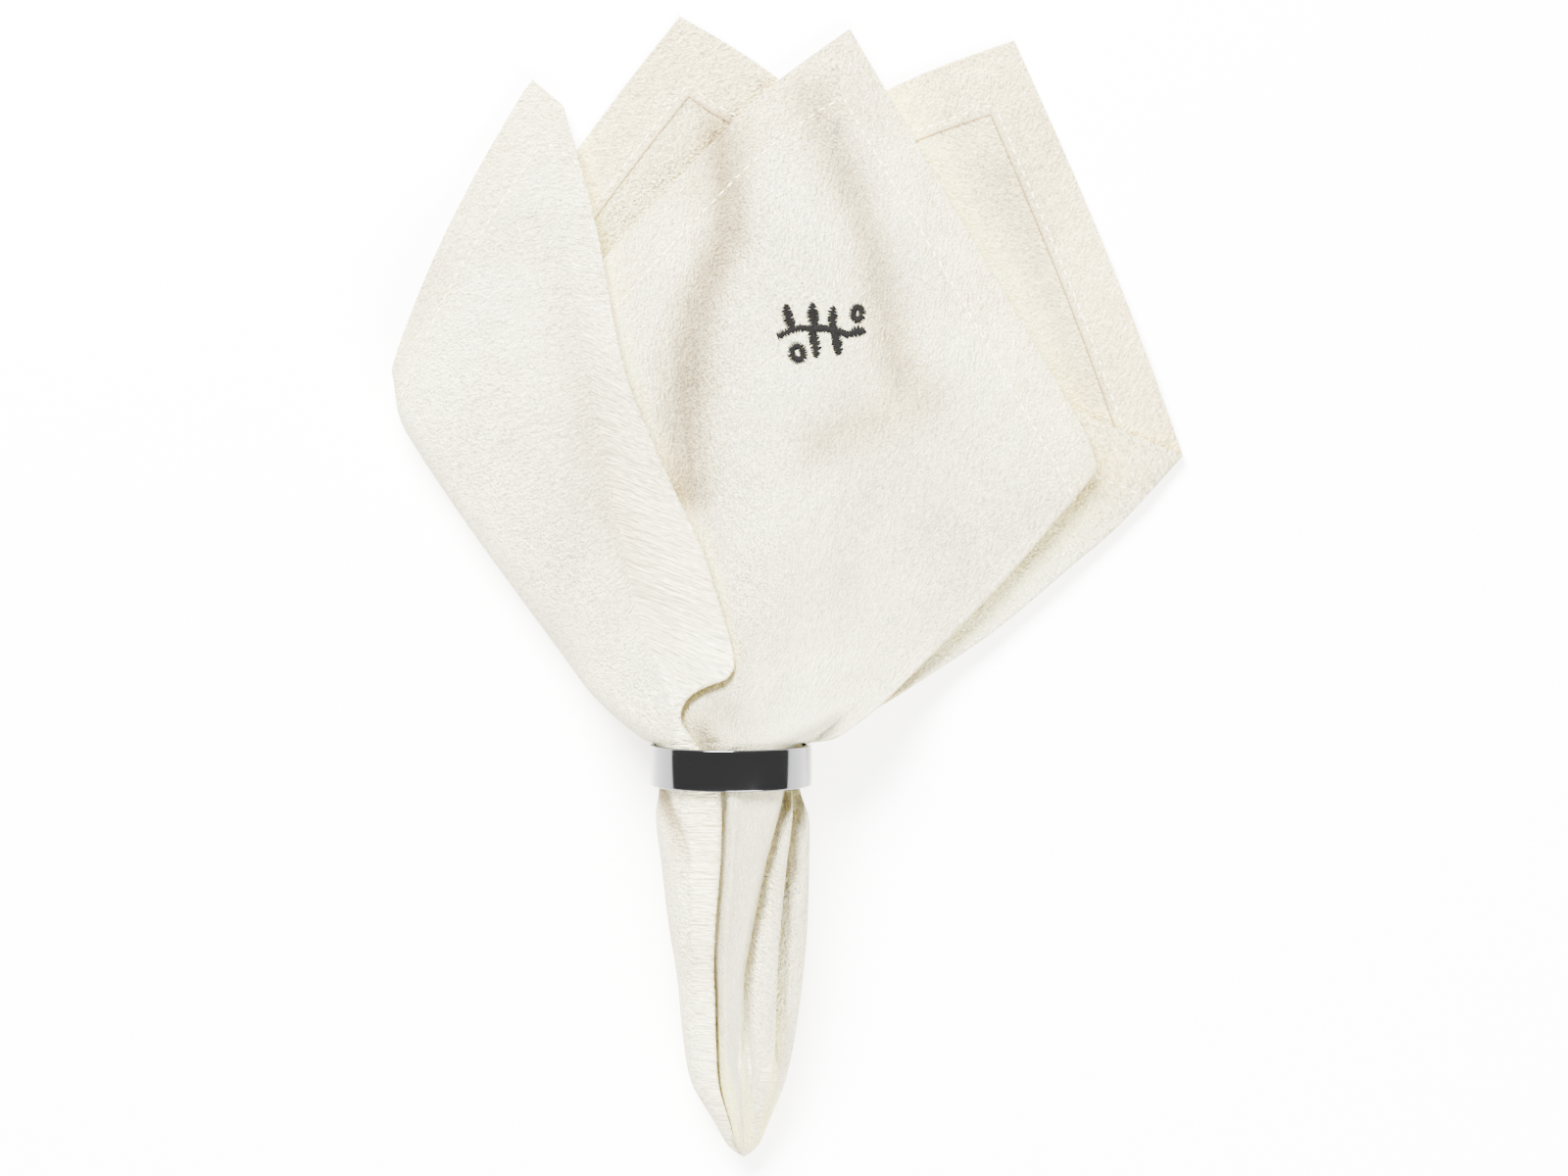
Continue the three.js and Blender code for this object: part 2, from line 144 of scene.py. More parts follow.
# %% Tail sections
SECTIONS = [
    # out    y     left  right bottom top  crease crease crease
    [0, -103.4, 2.6, 3.8, 2.6, 5.6, 3.0, 3.4, 3.6],
    [6, -100.6, -1.2, 7.2, 1.2, 9.0, 1.6, 4.2, 6.0],
    [14, -94.0, -4.9, 10.1, 0.4, 13.0, 0.2, 4.2, 8.2],
    [25, -84.5, -10.3, 13.9, 0.0, 17.5, -0.8, 3.4, 10.8],
    [37, -73.0, -12.4, 16.4, 0.0, 22.0, -2.8, 2.8, 11.9],
    [51, -59.0, -13.7, 18.3, 0.0, 27.0, -4.0, 3.2, 11.6],
    [65.5, -44.6, -15.9, 19.5, 0.0, 31.0, -3.6, 5.6, 12.4],
    [80, -30.0, -17.6, 19.9, 0.2, 34.5, -2.4, 8.6, 13.8],
    [92, -18.0, -19.0, 19.8, 0.8, 37.2, -2.0, 11.6, 15.2],
    [99, -11.0, -18.3, 17.6, 1.7, 38.2, -2.4, 13.2, 15.2],
    [105, -5.0, -18.6, 17.8, 1.9, 38.7, -5.2, 14.2, 15.9],
    [110, 0.0, -19.4, 18.9, 2.2, 39.0, -8.1, 16.0, 17.0],
]
TAIL_OUT = 110.0
HALF_CLOTH = 0.5
NAMES = ("y", "left", "right", "bottom", "top", "c1", "c2", "c3")
INSET = {"left": HALF_CLOTH, "right": -HALF_CLOTH, "bottom": HALF_CLOTH, "top": -HALF_CLOTH}


def tail_section(out):
    """The named sizes of the tail's cross-sections at these lengths of cloth from the pinch."""
    out = np.asarray(out, float)
    values = along(SECTIONS, out)
    s = {name: values[..., n] + INSET.get(name, 0) for n, name in enumerate(NAMES)}
    s["deep"] = smooth(10, 64, out)  # how far the pleats have opened from the tip on
    s["hook"] = smooth(90, 107, out)  # how far the front panel's fold has tucked under itself
    s["tuck"] = smooth(80, 99, out)
    return s


OUTS = np.linspace(0, TAIL_OUT, 441)
OUTS_Y = tail_section(OUTS)["y"]


def section_at_y(y):
    return tail_section(np.interp(y, OUTS_Y, OUTS))


print("tail from y", OUTS_Y[0], "to", OUTS_Y[-1])

# %% [markdown]
# ## Sixteen rays
# From the pinch, sixteen rays run over the flat square, one to each corner and one along each fold.
# When the cloth is folded each ray still runs from the tip of the tail, up through the ring and out
# into the fan. Its course is given in plan: its place across the tail's sections, and above the ring a
# curve to where it meets the edge. Rays that show near the ring have bends of their own there, where
# the cloth swells over the rim. The left panel's fold, a1, runs in an S.

# %% Places of the rays in the tail
def pleat(s, shallow, deep):
    return mix(shallow, deep, s["deep"])


ACROSS = {
    "d3": lambda s: s["left"],
    "C1": lambda s: mix(s["left"], s["c1"], 0.5),
    "a1": lambda s: s["c1"],
    "a2": lambda s: mix(s["c1"], s["left"], pleat(s, -0.3, 0.55)),
    "a3": lambda s: mix(mix(ACROSS["a2"](s), s["c2"], 0.18), mix(ACROSS["a2"](s), s["c1"], 0.78), s["hook"]),
    "a4": lambda s: mix(mix(ACROSS["a2"](s), s["c2"], 0.4), mix(ACROSS["a2"](s), s["c1"], 0.3), s["hook"]),
    "C3": lambda s: mix(ACROSS["a4"](s), s["c2"], 0.55),
    "b1": lambda s: s["c2"],
    "b2": lambda s: mix(s["c2"], s["c1"], pleat(s, -0.3, 0.62)),
    "b3": lambda s: s["c3"],
    "C4": lambda s: mix(s["c3"], ACROSS["c1"](s), 0.5),
    "c1": lambda s: mix(s["c3"], s["left"], pleat(s, -0.2, 0.68)),
    "c2": lambda s: s["right"],
    "C2": lambda s: mix(s["right"], ACROSS["d1"](s), 0.5),
    "d1": lambda s: ACROSS["d2"](s) - (s["right"] - s["left"]) * pleat(s, -0.15, 0.56),
    "d2": lambda s: mix(s["left"], s["right"], 0.8),
}

# %% Courses of the rays in the fan
# name, distance round the napkin's edge, and the plan place where the ray meets that edge
RAYS = [
    ("d3", -82.0, (-84.4, 92.0)),
    ("C1", 0.0, (-49.8, 165.2)),
    ("a1", 9.6, (-41.7, 158.3)),
    ("a2", 83.0, (-73.5, 92.3)),
    ("a3", 186.5, (30.0, 97.0)),
    ("a4", 274.0, (-57.7, 88.9)),
    ("C3", 400.0, (29.6, 177.7)),
    ("b1", 526.0, (92.4, 69.0)),
    ("b2", 607.0, (30.0, 105.0)),
    ("b3", 688.6, (112.7, 71.2)),
    ("C4", 800.0, (70.6, 175.0)),
    ("c1", 938.0, (-49.9, 107.0)),
    ("c2", 1070.0, (83.2, 89.2)),
    ("C2", 1200.0, (-12.8, 181.0)),
    ("d1", 1305.0, (-75.3, 96.5)),
    ("d2", 1406.6, (26.2, 91.3)),
]
BENDS = {
    "d3": [[0.012, -20.6, 0.6], [0.05, -23.2, 2.2], [0.12, -31.0, 8.6], [0.2, -38.0, 16.3],
           [0.82, -80.5, 76.5]],
    "C1": [[0.03, -13.8, 4.5], [0.054, -15.0, 9.5], [0.077, -16.8, 15.5], [0.107, -18.8, 21.5],
           [0.137, -20.4, 26.5], [0.2, -24.0, 37.0]],
    "a1": [[0.014, -9.4, 2.0], [0.036, -11.6, 5.1], [0.054, -11.9, 8.1], [0.077, -10.0, 11.6],
           [0.107, -5.6, 14.2], [0.137, -0.9, 16.0], [0.156, 0.9, 18.6], [0.171, 0.9, 21.6],
           [0.215, -1.0, 29.2], [0.275, -4.2, 39.3], [0.324, -6.8, 47.6], [0.449, -16.1, 67.6],
           [0.597, -25.9, 92.0], [0.815, -33.7, 129.8]],
    "a2": [[0.06, -17.0, 8.0], [0.12, -21.0, 16.0], [0.2, -28.0, 26.0]],
    "b1": [[0.012, 20.2, 0.3], [0.035, 22.4, 0.5], [0.07, 25.6, 1.2], [0.14, 30.4, 4.2], [0.22, 38.4, 10.6],
           [0.6, 66.6, 38.8]],
    "b3": [[0.17, 34.4, 7.6], [0.3, 47.8, 15.6], [0.485, 66.5, 28.2], [0.685, 85.1, 43.9],
           [0.81, 96.3, 53.5]],
}
FLARE = 0.2  # share of the way where the other rays have turned outwards
FLARE_ACROSS = 0.3
FLARE_ALONG = 0.18


def ray_course(name, end):
    """Rows of [share of the way from ring to edge, x, y]."""
    x0 = float(ACROSS[name](tail_section(TAIL_OUT)))
    below = tail_section(TAIL_OUT - 11)
    first = [[FLARE, mix(x0, end[0], FLARE_ACROSS), end[1] * FLARE_ALONG]]
    start = [[-0.07, float(ACROSS[name](below)), float(below["y"])], [0, x0, 0.0]]
    return start + BENDS.get(name, first) + [[1, *end]]


COURSES = {name: ray_course(name, end) for name, _, end in RAYS}
EDGE_AT = {name: at for name, at, _ in RAYS}
RAY_NAMES = [name for name, _, _ in RAYS]


def ray_plan(name, station):
    """Plan places of a ray: stations run 0 to 1 from pinch to ring and 1 to 2 from ring to edge."""
    station = np.atleast_1d(np.asarray(station, float))
    s = tail_section(np.minimum(station, 1) * TAIL_OUT)
    in_tail = np.stack((ACROSS[name](s), s["y"]), -1)
    in_fan = along(COURSES[name], station - 1)
    return np.where((station > 1)[:, None], in_fan, in_tail)


print(len(RAYS), "rays")

# %% [markdown]
# ## Twelve layers and how high each one lies
# Between two folds lies one layer of cloth, over a corner where there is one. The layers are a pile in
# a known order. At any plan place a layer's height follows from how many layers lie below it there. A
# layer's edge doesn't end that count at once, it drapes: its share falls off smoothly outside its
# outline. In the ring the pile is packed into a circle, and above the ring it loosens and lies down.

# %% Layers
LAYERS = []
for n, name in enumerate(RAY_NAMES):
    if name[0] != "C":
        following = RAY_NAMES[(n + 1) % 16]
        corner = following[0] == "C"
        LAYERS.append([name, following, RAY_NAMES[(n + 2) % 16]] if corner else [name, following])

PILE = [0, 1, 4, 3, 2, 5, 6, 7, 8, 9, 10, 11]  # top first
PLACE = np.argsort(PILE)
UNDER = (PLACE[None, :] > PLACE[:, None]).astype(float)
TUCK = (2, 3)  # the tuck's two layers run out soonest towards the tip
PLEATS = (1, 5, 7, 10)  # hidden pleats that run out towards the tip
SKINS = {4: (0, 1), 6: (4, 5), 8: (6, 7), 11: (9, 10)}  # skin layer: the skin layer over it, their pleat
OUTLINE_STATIONS = np.concatenate((np.linspace(0.06, 1, 14), 1 + np.linspace(0.012, 0.24, 17),
                                   1 + np.linspace(0.28, 1, 17)))


def layer_outline(rays):
    up = ray_plan(rays[0], OUTLINE_STATIONS)
    down = ray_plan(rays[-1], OUTLINE_STATIONS)[::-1]
    corner = [ray_plan(rays[1], 2.0)] if len(rays) == 3 else []
    return np.concatenate([up, *corner, down])


OUTLINES = [layer_outline(rays) for rays in LAYERS]


def outside(outline, points):
    """Distances from plan points to an outline, 0 inside it."""
    a, b = outline, np.roll(outline, -1, axis=0)
    way = b - a
    to = points[:, None, :] - a[None]
    t = np.clip((to * way).sum(-1) / ((way * way).sum(-1) + 1e-9), 0, 1)
    gap = np.linalg.norm(to - way * t[..., None], axis=-1).min(axis=1)
    x, y = points[:, :1], points[:, 1:]
    spans = (a[:, 1] > y) != (b[:, 1] > y)
    rise = np.where(way[:, 1] == 0, 1e-9, way[:, 1])
    left_of = x < a[:, 0] + (y - a[:, 1]) / rise * way[:, 0]
    inside = (spans & left_of).sum(axis=1) % 2 == 1
    return np.where(inside, 0, gap)


print(len(LAYERS), "layers, top first:", ["-".join((LAYERS[i][0], LAYERS[i][-1])) for i in PILE])

# %% [markdown]
# ## Soft hollows, ridges, a lip and snug edges
# The top layers aren't smooth. Broad hollows and ridges run up the front panel. Each is a line in plan
# with a height and a width. It moves the layer that shows by its full height, and the layers below by
# less and less, so none is pushed through another. A lip is a hollow with one steep side, and the
# tail's left pleat has one. Along the left panel's fold the front panel is raised until it nearly
# touches the layer above it, as soft cloth would, so the fold throws only a thin shadow.

# %% Relief tables
FRONT, LEFT, BACK_RIGHT, LOW_RIGHT = 4, 0, 7, 6
RELIEF = [
    # layer, height, width, points of its line
    (FRONT, -3.4, 5.5, [(-2.7, 152), (-0.2, 128.5), (-9, 104), (-11.2, 80), (-10, 62)]),
    (FRONT, -2.4, 5.5, [(20.5, 160), (25.4, 148), (32.7, 131), (38.8, 104), (41.2, 92)]),
    (FRONT, -1.7, 6.5, [(21.7, 74.0), (35.1, 79.0), (48.5, 84.6)]),
    (FRONT, 2.0, 6.0, [(5.9, 130), (14, 118), (22, 110)]),
    (FRONT, 1.6, 7.0, [(14.5, 70), (9, 44), (4.4, 20)]),
    (FRONT, 1.2, 7.0, [(56, 100), (50, 62), (38, 40)]),
    (FRONT, -1.5, 4.5, [(-5.5, 1.0), (-5.5, 5.0), (-2.0, 8.5)]),
    (FRONT, -0.4, 4.5, [(-10, 62), (-3, 50), (1.5, 36), (3.0, 22)]),
    (LEFT, 0.9, 8.0, [(-55, 128), (-60, 96), (-46, 60), (-30, 34)]),
    (LEFT, -0.9, 6.0, [(-40, 110), (-37, 84), (-27, 52), (-17, 30)]),
    (BACK_RIGHT, -1.1, 5.0, [(67, 142), (80.2, 111.5), (88.8, 87)]),
    (LOW_RIGHT, -1.3, 4.5, [(86, 66), (66, 42), (44, 20)]),
]
LIPS = [
    # layer, side of the line that is lower, and rows of y, x, depth, reach
    (LEFT, -1, [[-36, -9.0, 0, 8], [-30, -8.8, 0.8, 8], [-23, -9.8, 2.0, 7], [-17, -12.2, 3.0, 7],
                [-12.4, -14.1, 3.4, 6], [-7, -15.4, 3.0, 4]]),
]
SNUG = [
    # layer that is raised towards the one above it, share of the gap, width, line
    (FRONT, 1, 0.97, 6.0, [(-6, 2), (-9, 7), (-6, 12), (0, 15), (2.5, 22)]),
    (FRONT, 1, 0.6, 3.0, [(2.0, 22), (0.5, 29.2), (-2.5, 39.3), (-5, 47.6), (-14.5, 67.6), (-24, 92),
                          (-32, 130)]),
    (FRONT, 1, 0.95, 3.0, [(-1.5, -12), (-2, -30), (-3, -45), (-3.5, -59), (-2.5, -73)]),
]
LIP_STEEP = 1.5
LIP_FADE = 6
DEEPEST = 0.4  # a hollow presses a place down by no more than this share of its height


def line_distance(line, points):
    """Distances from plan points to an open line."""
    a, b = np.array(line[:-1], float), np.array(line[1:], float)
    way = b - a
    to = points[:, None, :] - a[None]
    t = np.clip((to * way).sum(-1) / (way * way).sum(-1), 0, 1)
    return np.linalg.norm(to - way * t[..., None], axis=-1).min(axis=1)


def reliefs(points):
    """For each row: the layer, how far it is lifted at the plan places, and how sharply that fades below."""
    for layer, height, width, line in RELIEF:
        yield layer, height * np.exp(-(line_distance(line, points) / width) ** 2), 1
    x, y = points.T
    for layer, side, rows in LIPS:
        at_x, depth, reach = along(rows, y).T
        over = side * (x - at_x)
        within = (y > rows[0][0]) & (y < rows[-1][0])
        eased = smooth(0, LIP_STEEP, over) * (1 - smooth(0.35 * reach, reach, over))
        yield layer, -depth * eased * within, LIP_FADE


# %% Heights
LOOSENESS = [
    # distance from the ring, height of one layer, reach of its drape
    [0, 3.3, 7],
    [15, 3.2, 10],
    [30, 2.85, 16],
    [55, 2.55, 28],
    [90, 2.35, 42],
    [130, 2.15, 50],
    [200, 2.05, 50],
]
TAIL_DRAPE = 3.2  # reach of a layer's drape in the tail
RIM_REACH = (-8, 0)  # the tail's drape gives way to the fan's over this stretch of Y
WIDEST_DRAPE = 0.3  # share of the tail's width that a drape may reach
SHOULDER = 1.05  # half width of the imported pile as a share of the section's
SHOULDER_GROWTH = 1.4  # and how much it widens for each millimetre above the ring
FLATTEST = 0.04  # least squared height of the pile at its sides
LIES_DOWN = 22  # the pile lies on the table from here on
SNUG_GAP = 0.6
FLOOR_RISE = [[-12, 1.9], [0, 1.7], [14, 0.8], [30, 0]]  # the underside's rise into the ring


def fullness(index, s):
    """1 where a layer is a full pleat of the tail, 0 where it has run out towards the tip."""
    if index in TUCK:
        return s["tuck"]
    overlap = ACROSS[LAYERS[index][0]](s) - ACROSS[LAYERS[index][1]](s)
    return smooth(-3, 1.5, -overlap if index == 10 else overlap)


def presence(points, s, drape):
    """How much each layer counts at each plan place."""
    in_fan = points[:, 1] > 0
    reaches = np.stack([1 - smooth(0, drape, outside(o, points)) for o in OUTLINES], -1)
    tucked = np.maximum(reaches[:, 2], reaches[:, 3]) * (1 - s["tuck"])
    reaches[:, 4] = np.where(in_fan, reaches[:, 4], np.maximum(reaches[:, 4], tucked))
    there = reaches.copy()
    for i in TUCK + PLEATS:
        there[:, i] *= np.where(in_fan, 1, fullness(i, s))
    for skin, (over, hidden) in SKINS.items():
        there[:, skin] *= np.where(in_fan, 1, 1 - reaches[:, over] * (1 - fullness(hidden, s)))
    return there


def heights(points):
    """Heights of all the layers at plan places, one row a place."""
    x, y = points[:, 0], points[:, 1]
    s = section_at_y(y)
    reach = np.where(y > 0, np.hypot(x, y), 0)
    pitch, drape = along(LOOSENESS, reach).T
    wide = s["right"] - s["left"]
    in_tail = np.minimum(mix(TAIL_DRAPE, drape, smooth(*RIM_REACH, y)), WIDEST_DRAPE * wide)
    drape = np.where(y > 0, drape, in_tail)
    there = presence(points, s, drape)
    rank = there @ UNDER.T
    count = np.maximum(there.sum(axis=1) - 1, 1)[:, None]
    middle = (s["left"] + s["right"]) / 2
    shoulder = wide / 2 * SHOULDER + SHOULDER_GROWTH * np.maximum(y, 0)
    chord = np.sqrt(np.maximum(1 - ((x - middle) / shoulder) ** 2, FLATTEST))
    mid, rise = (s["top"] + s["bottom"]) / 2, (s["top"] - s["bottom"]) / 2 * chord
    packed = mid[:, None] + rise[:, None] * (2 * rank / count - 1)
    floor = along(FLOOR_RISE, y)[:, :1] + HALF_CLOTH
    z = mix(packed, floor + pitch[:, None] * rank, smooth(0, LIES_DOWN, y)[:, None])
    for layer, lift, fade in reliefs(points):
        own = z[:, layer:layer + 1]
        z = z + np.maximum(lift[:, None], -DEEPEST * own) * np.clip(z / own, 0, 1) ** fade
    for layer, above, share, width, line in SNUG:
        near = share * np.exp(-(line_distance(line, points) / width) ** 2)
        z[:, layer] += np.maximum(z[:, above] - z[:, layer] - SNUG_GAP, 0) * near
    return z


print("pile height 60 mm above the ring:", heights(np.array([[0.0, 60.0]])).max().round(1), "mm")

# %% [markdown]
# ## Folding one section
# A row of the mesh is one closed loop: across the first layer, round a fold, back across the next one,
# and so on twelve times. Each fold turns over in half a circle as high as the two layers are apart.
# The rows keep to lines that can be drawn on the flat napkin. Close to the edge they run parallel to
# it, so that the inner edge of the hem falls exactly on a row and can be a crisp step.

# %% Rows and columns
TURN_STEPS = 5  # columns in half a fold's turn
SEEN = (0, 3, 4, 7, 9)  # layers that show, or lie close under a hollow, have more columns across them
SEEN_STEPS = 18
HIDDEN_STEPS = 5
TAIL_ROWS = 46
FAN_ROWS = 72
HEM_STEP = 0.8  # the hem's inner edge rises over this much cloth
HEM_ROWS = [HEM + HEM_STEP, HEM, 11.5, 9.5, 7.5, 5.5, 3.8, 2.2, 1.0, 0.35, 0.0]  # distances from the edge

ROWS = [("tail", (n / TAIL_ROWS) ** 0.9) for n in range(1, TAIL_ROWS + 1)]
ROWS += [("fan", (n / FAN_ROWS) ** 1.35) for n in range(1, FAN_ROWS)]
ROWS += [("hem", gap) for gap in HEM_ROWS]


def fan_share(kind, value, at):
    """Share of the way from ring to edge, for a row where it crosses the ray to an edge place."""
    length = np.linalg.norm(edge_point(at) - PINCH, axis=-1)

    def share_of_gap(gap):
        return ((1 - gap / pinch_to_side(at)) * length - TAIL_OUT) / (length - TAIL_OUT)

    if kind == "hem":
        return share_of_gap(value)
    return value * share_of_gap(HEM_ROWS[0])


def station_of(kind, value, name):
    return value if kind == "tail" else 1 + float(fan_share(kind, value, np.array(EDGE_AT[name])))


def flat_place(kind, value, at):
    """Places on the flat napkin where a row crosses the rays to these edge places."""
    to_edge = edge_point(at) - PINCH
    length = np.linalg.norm(to_edge, axis=-1)
    out = value * TAIL_OUT if kind == "tail" else TAIL_OUT + (length - TAIL_OUT) * fan_share(kind, value, at)
    return PINCH + to_edge * (out / length)[:, None]


# %% Bulging edges
# layer and which of its sides: height, and the share of the side where it is highest
BULGE = {(0, 0): (2.6, 0.5), (7, 0): (1.4, 0.5), (7, 1): (5.0, 0.3), (4, 0): (4.6, 0.7), (9, 0): (6.4, 0.7),
         (9, 1): (0.8, 0.3)}


def bulge(index, places, along_line, stops, kind, value):
    """Push a layer's rows outwards, so that its free edges aren't ruled straight."""
    near_edge = 1.0 if kind == "hem" else float(smooth(0.4, 1, value)) if kind == "fan" else 0.0
    for side in range(len(stops) - 1):
        height, peak = BULGE.get((index, side), (0, 0.5))
        share = (along_line - stops[side]) / (stops[side + 1] - stops[side])
        on_side = (share > 0) & (share < 1)
        to_peak = np.where(share < peak, share / peak, (1 - share) / (1 - peak))
        arch = np.where(on_side, np.sin(math.pi / 2 * np.clip(to_peak, 0, 1)), 0) * height * near_edge
        way = places[np.argmax(on_side)] - places[len(places) - 1 - np.argmax(on_side[::-1])]
        outwards = np.array((way[1], -way[0])) / max(np.linalg.norm(way), 1e-6)
        places = places + arch[:, None] * outwards * (1 if index % 2 == 0 else -1)
    return places


# %% One layer of one row
def walk(line, length):
    """Plan places after these lengths along a line of two or three points."""
    steps = np.linalg.norm(np.diff(line, axis=0), axis=1)
    stops = np.concatenate(([0], np.cumsum(np.maximum(steps, 1e-9))))
    return np.stack([np.interp(length, stops, line[:, axis]) for axis in (0, 1)], -1), stops


TURN_SHARE = 0.8  # share of the room at a fold that its turn may take
NARROW_SIDE = 2.2  # a turn's room is at most this many times the layer's own first side


def turn_radius(height_gap, room):
    cap = TURN_SHARE * room / (math.pi / 2)
    return min(max(height_gap / 2, HALF_CLOTH), cap)


def layer_columns(line, first, last, count):
    """Lengths along a layer's line of its columns, closer together in the turns at both ends."""
    stops = np.concatenate(([0], np.cumsum(np.linalg.norm(np.diff(line, axis=0), axis=1))))
    width = stops[-1]
    first_turn, last_turn = first * math.pi / 2, last * math.pi / 2
    corner = [max(stops[1], first_turn + 0.02)] if len(line) == 3 else []
    marks = [first_turn, *corner, width - last_turn]
    steps = np.arange(count) / count
    flats = [mix(a, b, steps) for a, b in zip(marks, marks[1:])]
    turns = np.arange(TURN_STEPS) / TURN_STEPS
    return np.concatenate([first_turn * turns, *flats, width - last_turn * (1 - turns)])


def fold_row(kind, value):
    """One closed row of the folded cloth: places in space, places on the flat napkin, layer numbers."""
    lines = [np.concatenate([ray_plan(n, station_of(kind, value, n)) for n in rays]) for rays in LAYERS]
    folds = np.array([line[0] for line in lines])
    at_folds = heights(folds)
    widths = [np.linalg.norm(np.diff(line, axis=0), axis=1) for line in lines]
    plan, sine, layer, other, flat = [], [], [], [], []
    for i, line in enumerate(lines):
        before, after = (i - 1) % 12, (i + 1) % 12
        width = widths[i].sum()
        gap = abs(at_folds[i][i] - at_folds[i][before])
        first = turn_radius(gap, min(widths[before].sum(), width, NARROW_SIDE * widths[i][0]) / 2)
        gap = abs(at_folds[after][i] - at_folds[after][after])
        last = turn_radius(gap, min(widths[after].sum(), width, NARROW_SIDE * widths[i][-1]) / 2)
        columns = layer_columns(line, first, last, SEEN_STEPS if i in SEEN else HIDDEN_STEPS)
        from_end = width - columns
        near_first = columns < from_end
        radius = np.where(near_first, first, last)
        d = np.minimum(columns, from_end)
        angle = np.minimum(d / radius, math.pi / 2)
        beyond = (d - radius * math.pi / 2) * (width / 2 - radius) / (width / 2 - radius * math.pi / 2)
        across = np.where(angle < math.pi / 2, radius * (1 - np.cos(angle)), radius + beyond)
        along_line = np.where(near_first, across, width - across)
        places, stops = walk(line, along_line)
        if kind != "tail":
            places = bulge(i, places, along_line, stops, kind, value)
        ats = np.array([EDGE_AT[n] for n in LAYERS[i]])
        ats = np.where(ats < ats[0], ats + 4 * SIDE, ats)
        plan.append(places)
        sine.append(np.sin(angle))
        layer.append(np.full(len(columns), i))
        other.append(np.where(near_first, before, after))
        flat.append(flat_place(kind, value, np.interp(columns, stops, ats)))
    plan, sine, flat = np.concatenate(plan), np.concatenate(sine), np.concatenate(flat)
    layer, other = np.concatenate(layer), np.concatenate(other)
    h = heights(plan)
    rows = np.arange(len(plan))
    own, joined = h[rows, layer], (h[rows, layer] + h[rows, other]) / 2
    z = mix(joined, own, sine)
    return np.column_stack((plan, z)), flat, layer, sine


# %% [markdown]
# ## The hold of the ring and the tip
# Inside the ring the bundle can't leave the circle, so points that would are eased back inside. At the
# other end, the pleats have to run out before the tip. There the sections are the last pleated one,
# eased step by step to a plain round.

# %% Ring hold and tip
BUNDLE = RING_OUTER - RING_WALL - 0.3
SOFT_EDGE = 2.2
RELEASE_ABOVE, RELEASE_BELOW = 0.4, 7.0  # how soon the ring's hold ends beyond its two rims
TIP_FROM = 50.0  # length of cloth from the pinch where the pleats are whole
SLOW, FAST = (0.0, 0.6), (0.5, 1.0)  # shares of that length over which the left and right pleats run out
TIP = (3.2, -103.4, 4.1)


def hold_in_ring(points):
    x, y, z = points.T
    middle = RING_MIDDLE.y
    along_axis = (y - middle) * math.cos(RING_TILT) + (z - RING_AXIS_Z) * math.sin(RING_TILT)
    release = np.where(y > middle, RELEASE_ABOVE, RELEASE_BELOW)
    hold = 1 - smooth(RING_HEIGHT / 2 - 0.1, RING_HEIGHT / 2 + release, np.abs(along_axis))
    axis = RING_AXIS_Z + (y - middle) * math.tan(RING_TILT)
    r = np.hypot(x, z - axis)
    soft = BUNDLE - SOFT_EDGE
    held = np.where(r <= soft, r, soft + SOFT_EDGE * np.tanh((r - soft) / SOFT_EDGE))
    k = mix(1, held / np.maximum(r, 1e-6), hold)
    return np.column_stack((x * k, y, axis + (z - axis) * k))


def section_frame(station):
    s = {name: float(value) for name, value in tail_section(station * TAIL_OUT).items()}
    wide, high_half = (s["right"] - s["left"]) / 2, (s["top"] - s["bottom"]) / 2
    return np.array((s["left"] + wide, s["bottom"] + high_half)), np.array((wide, high_half)), s["y"]


def plain_angles(unit):
    """An angle for each point: its own on the outside of the section, spread evenly within a pleat."""
    count = len(unit)
    angles = np.arctan2(unit[:, 1], unit[:, 0])
    keys, values = [], []
    for n in np.nonzero(np.hypot(*unit.T) > 0.8)[0]:
        turn = angles[n] - (values[-1] if values else angles[n] + 1e-3)
        step = math.atan2(math.sin(turn), math.cos(turn))
        if step < 0:
            keys.append(n)
            values.append((values[-1] if values else angles[n]) + step)
    keys.append(keys[0] + count)
    values.append(values[0] - 2 * math.pi)
    return np.interp(np.arange(count) + (np.arange(count) < keys[0]) * count, keys, values)


def ease_tip(loops, layer):
    stations = [value for kind, value in ROWS if kind == "tail"]
    columns = np.arange(len(layer))
    front, last = columns[layer == 4], columns[layer == 11]
    right = np.interp(columns, [front[0], front[-1], last[0], last[-1]], [0, 1, 1, 0])
    whole = next(n for n, value in enumerate(stations) if value * TAIL_OUT >= TIP_FROM)
    middle, half, _ = section_frame(stations[whole])
    unit = (loops[whole][:, [0, 2]] - middle) / half
    plain = plain_angles(unit)
    for n in range(whole):
        middle, half, y = section_frame(stations[n])
        share = stations[n] / stations[whole]
        pleated = mix(smooth(*SLOW, share), smooth(*FAST, share), right)[:, None]
        circle = np.column_stack((np.cos(plain), np.sin(plain)))
        across_up = middle + half * mix(circle, unit, pleated)
        loops[n] = np.column_stack((across_up[:, 0], np.full(len(unit), y), across_up[:, 1]))


# %% Soft corner
SOFT_CORNER = (92.4, 69.0)  # the front panel's thick hem turns here, and the corner is blunt
SOFT_REACH = 7.0
SOFT_PULL = 2.0


def blunt_corner(points):
    to = points[:, :2] - np.array(SOFT_CORNER)
    near = np.clip(1 - np.linalg.norm(to, axis=1) / SOFT_REACH, 0, 1) ** 2
    inwards = -np.array(SOFT_CORNER) / np.linalg.norm(SOFT_CORNER)
    moved = points.copy()
    moved[:, :2] += near[:, None] * SOFT_PULL * inwards
    return moved


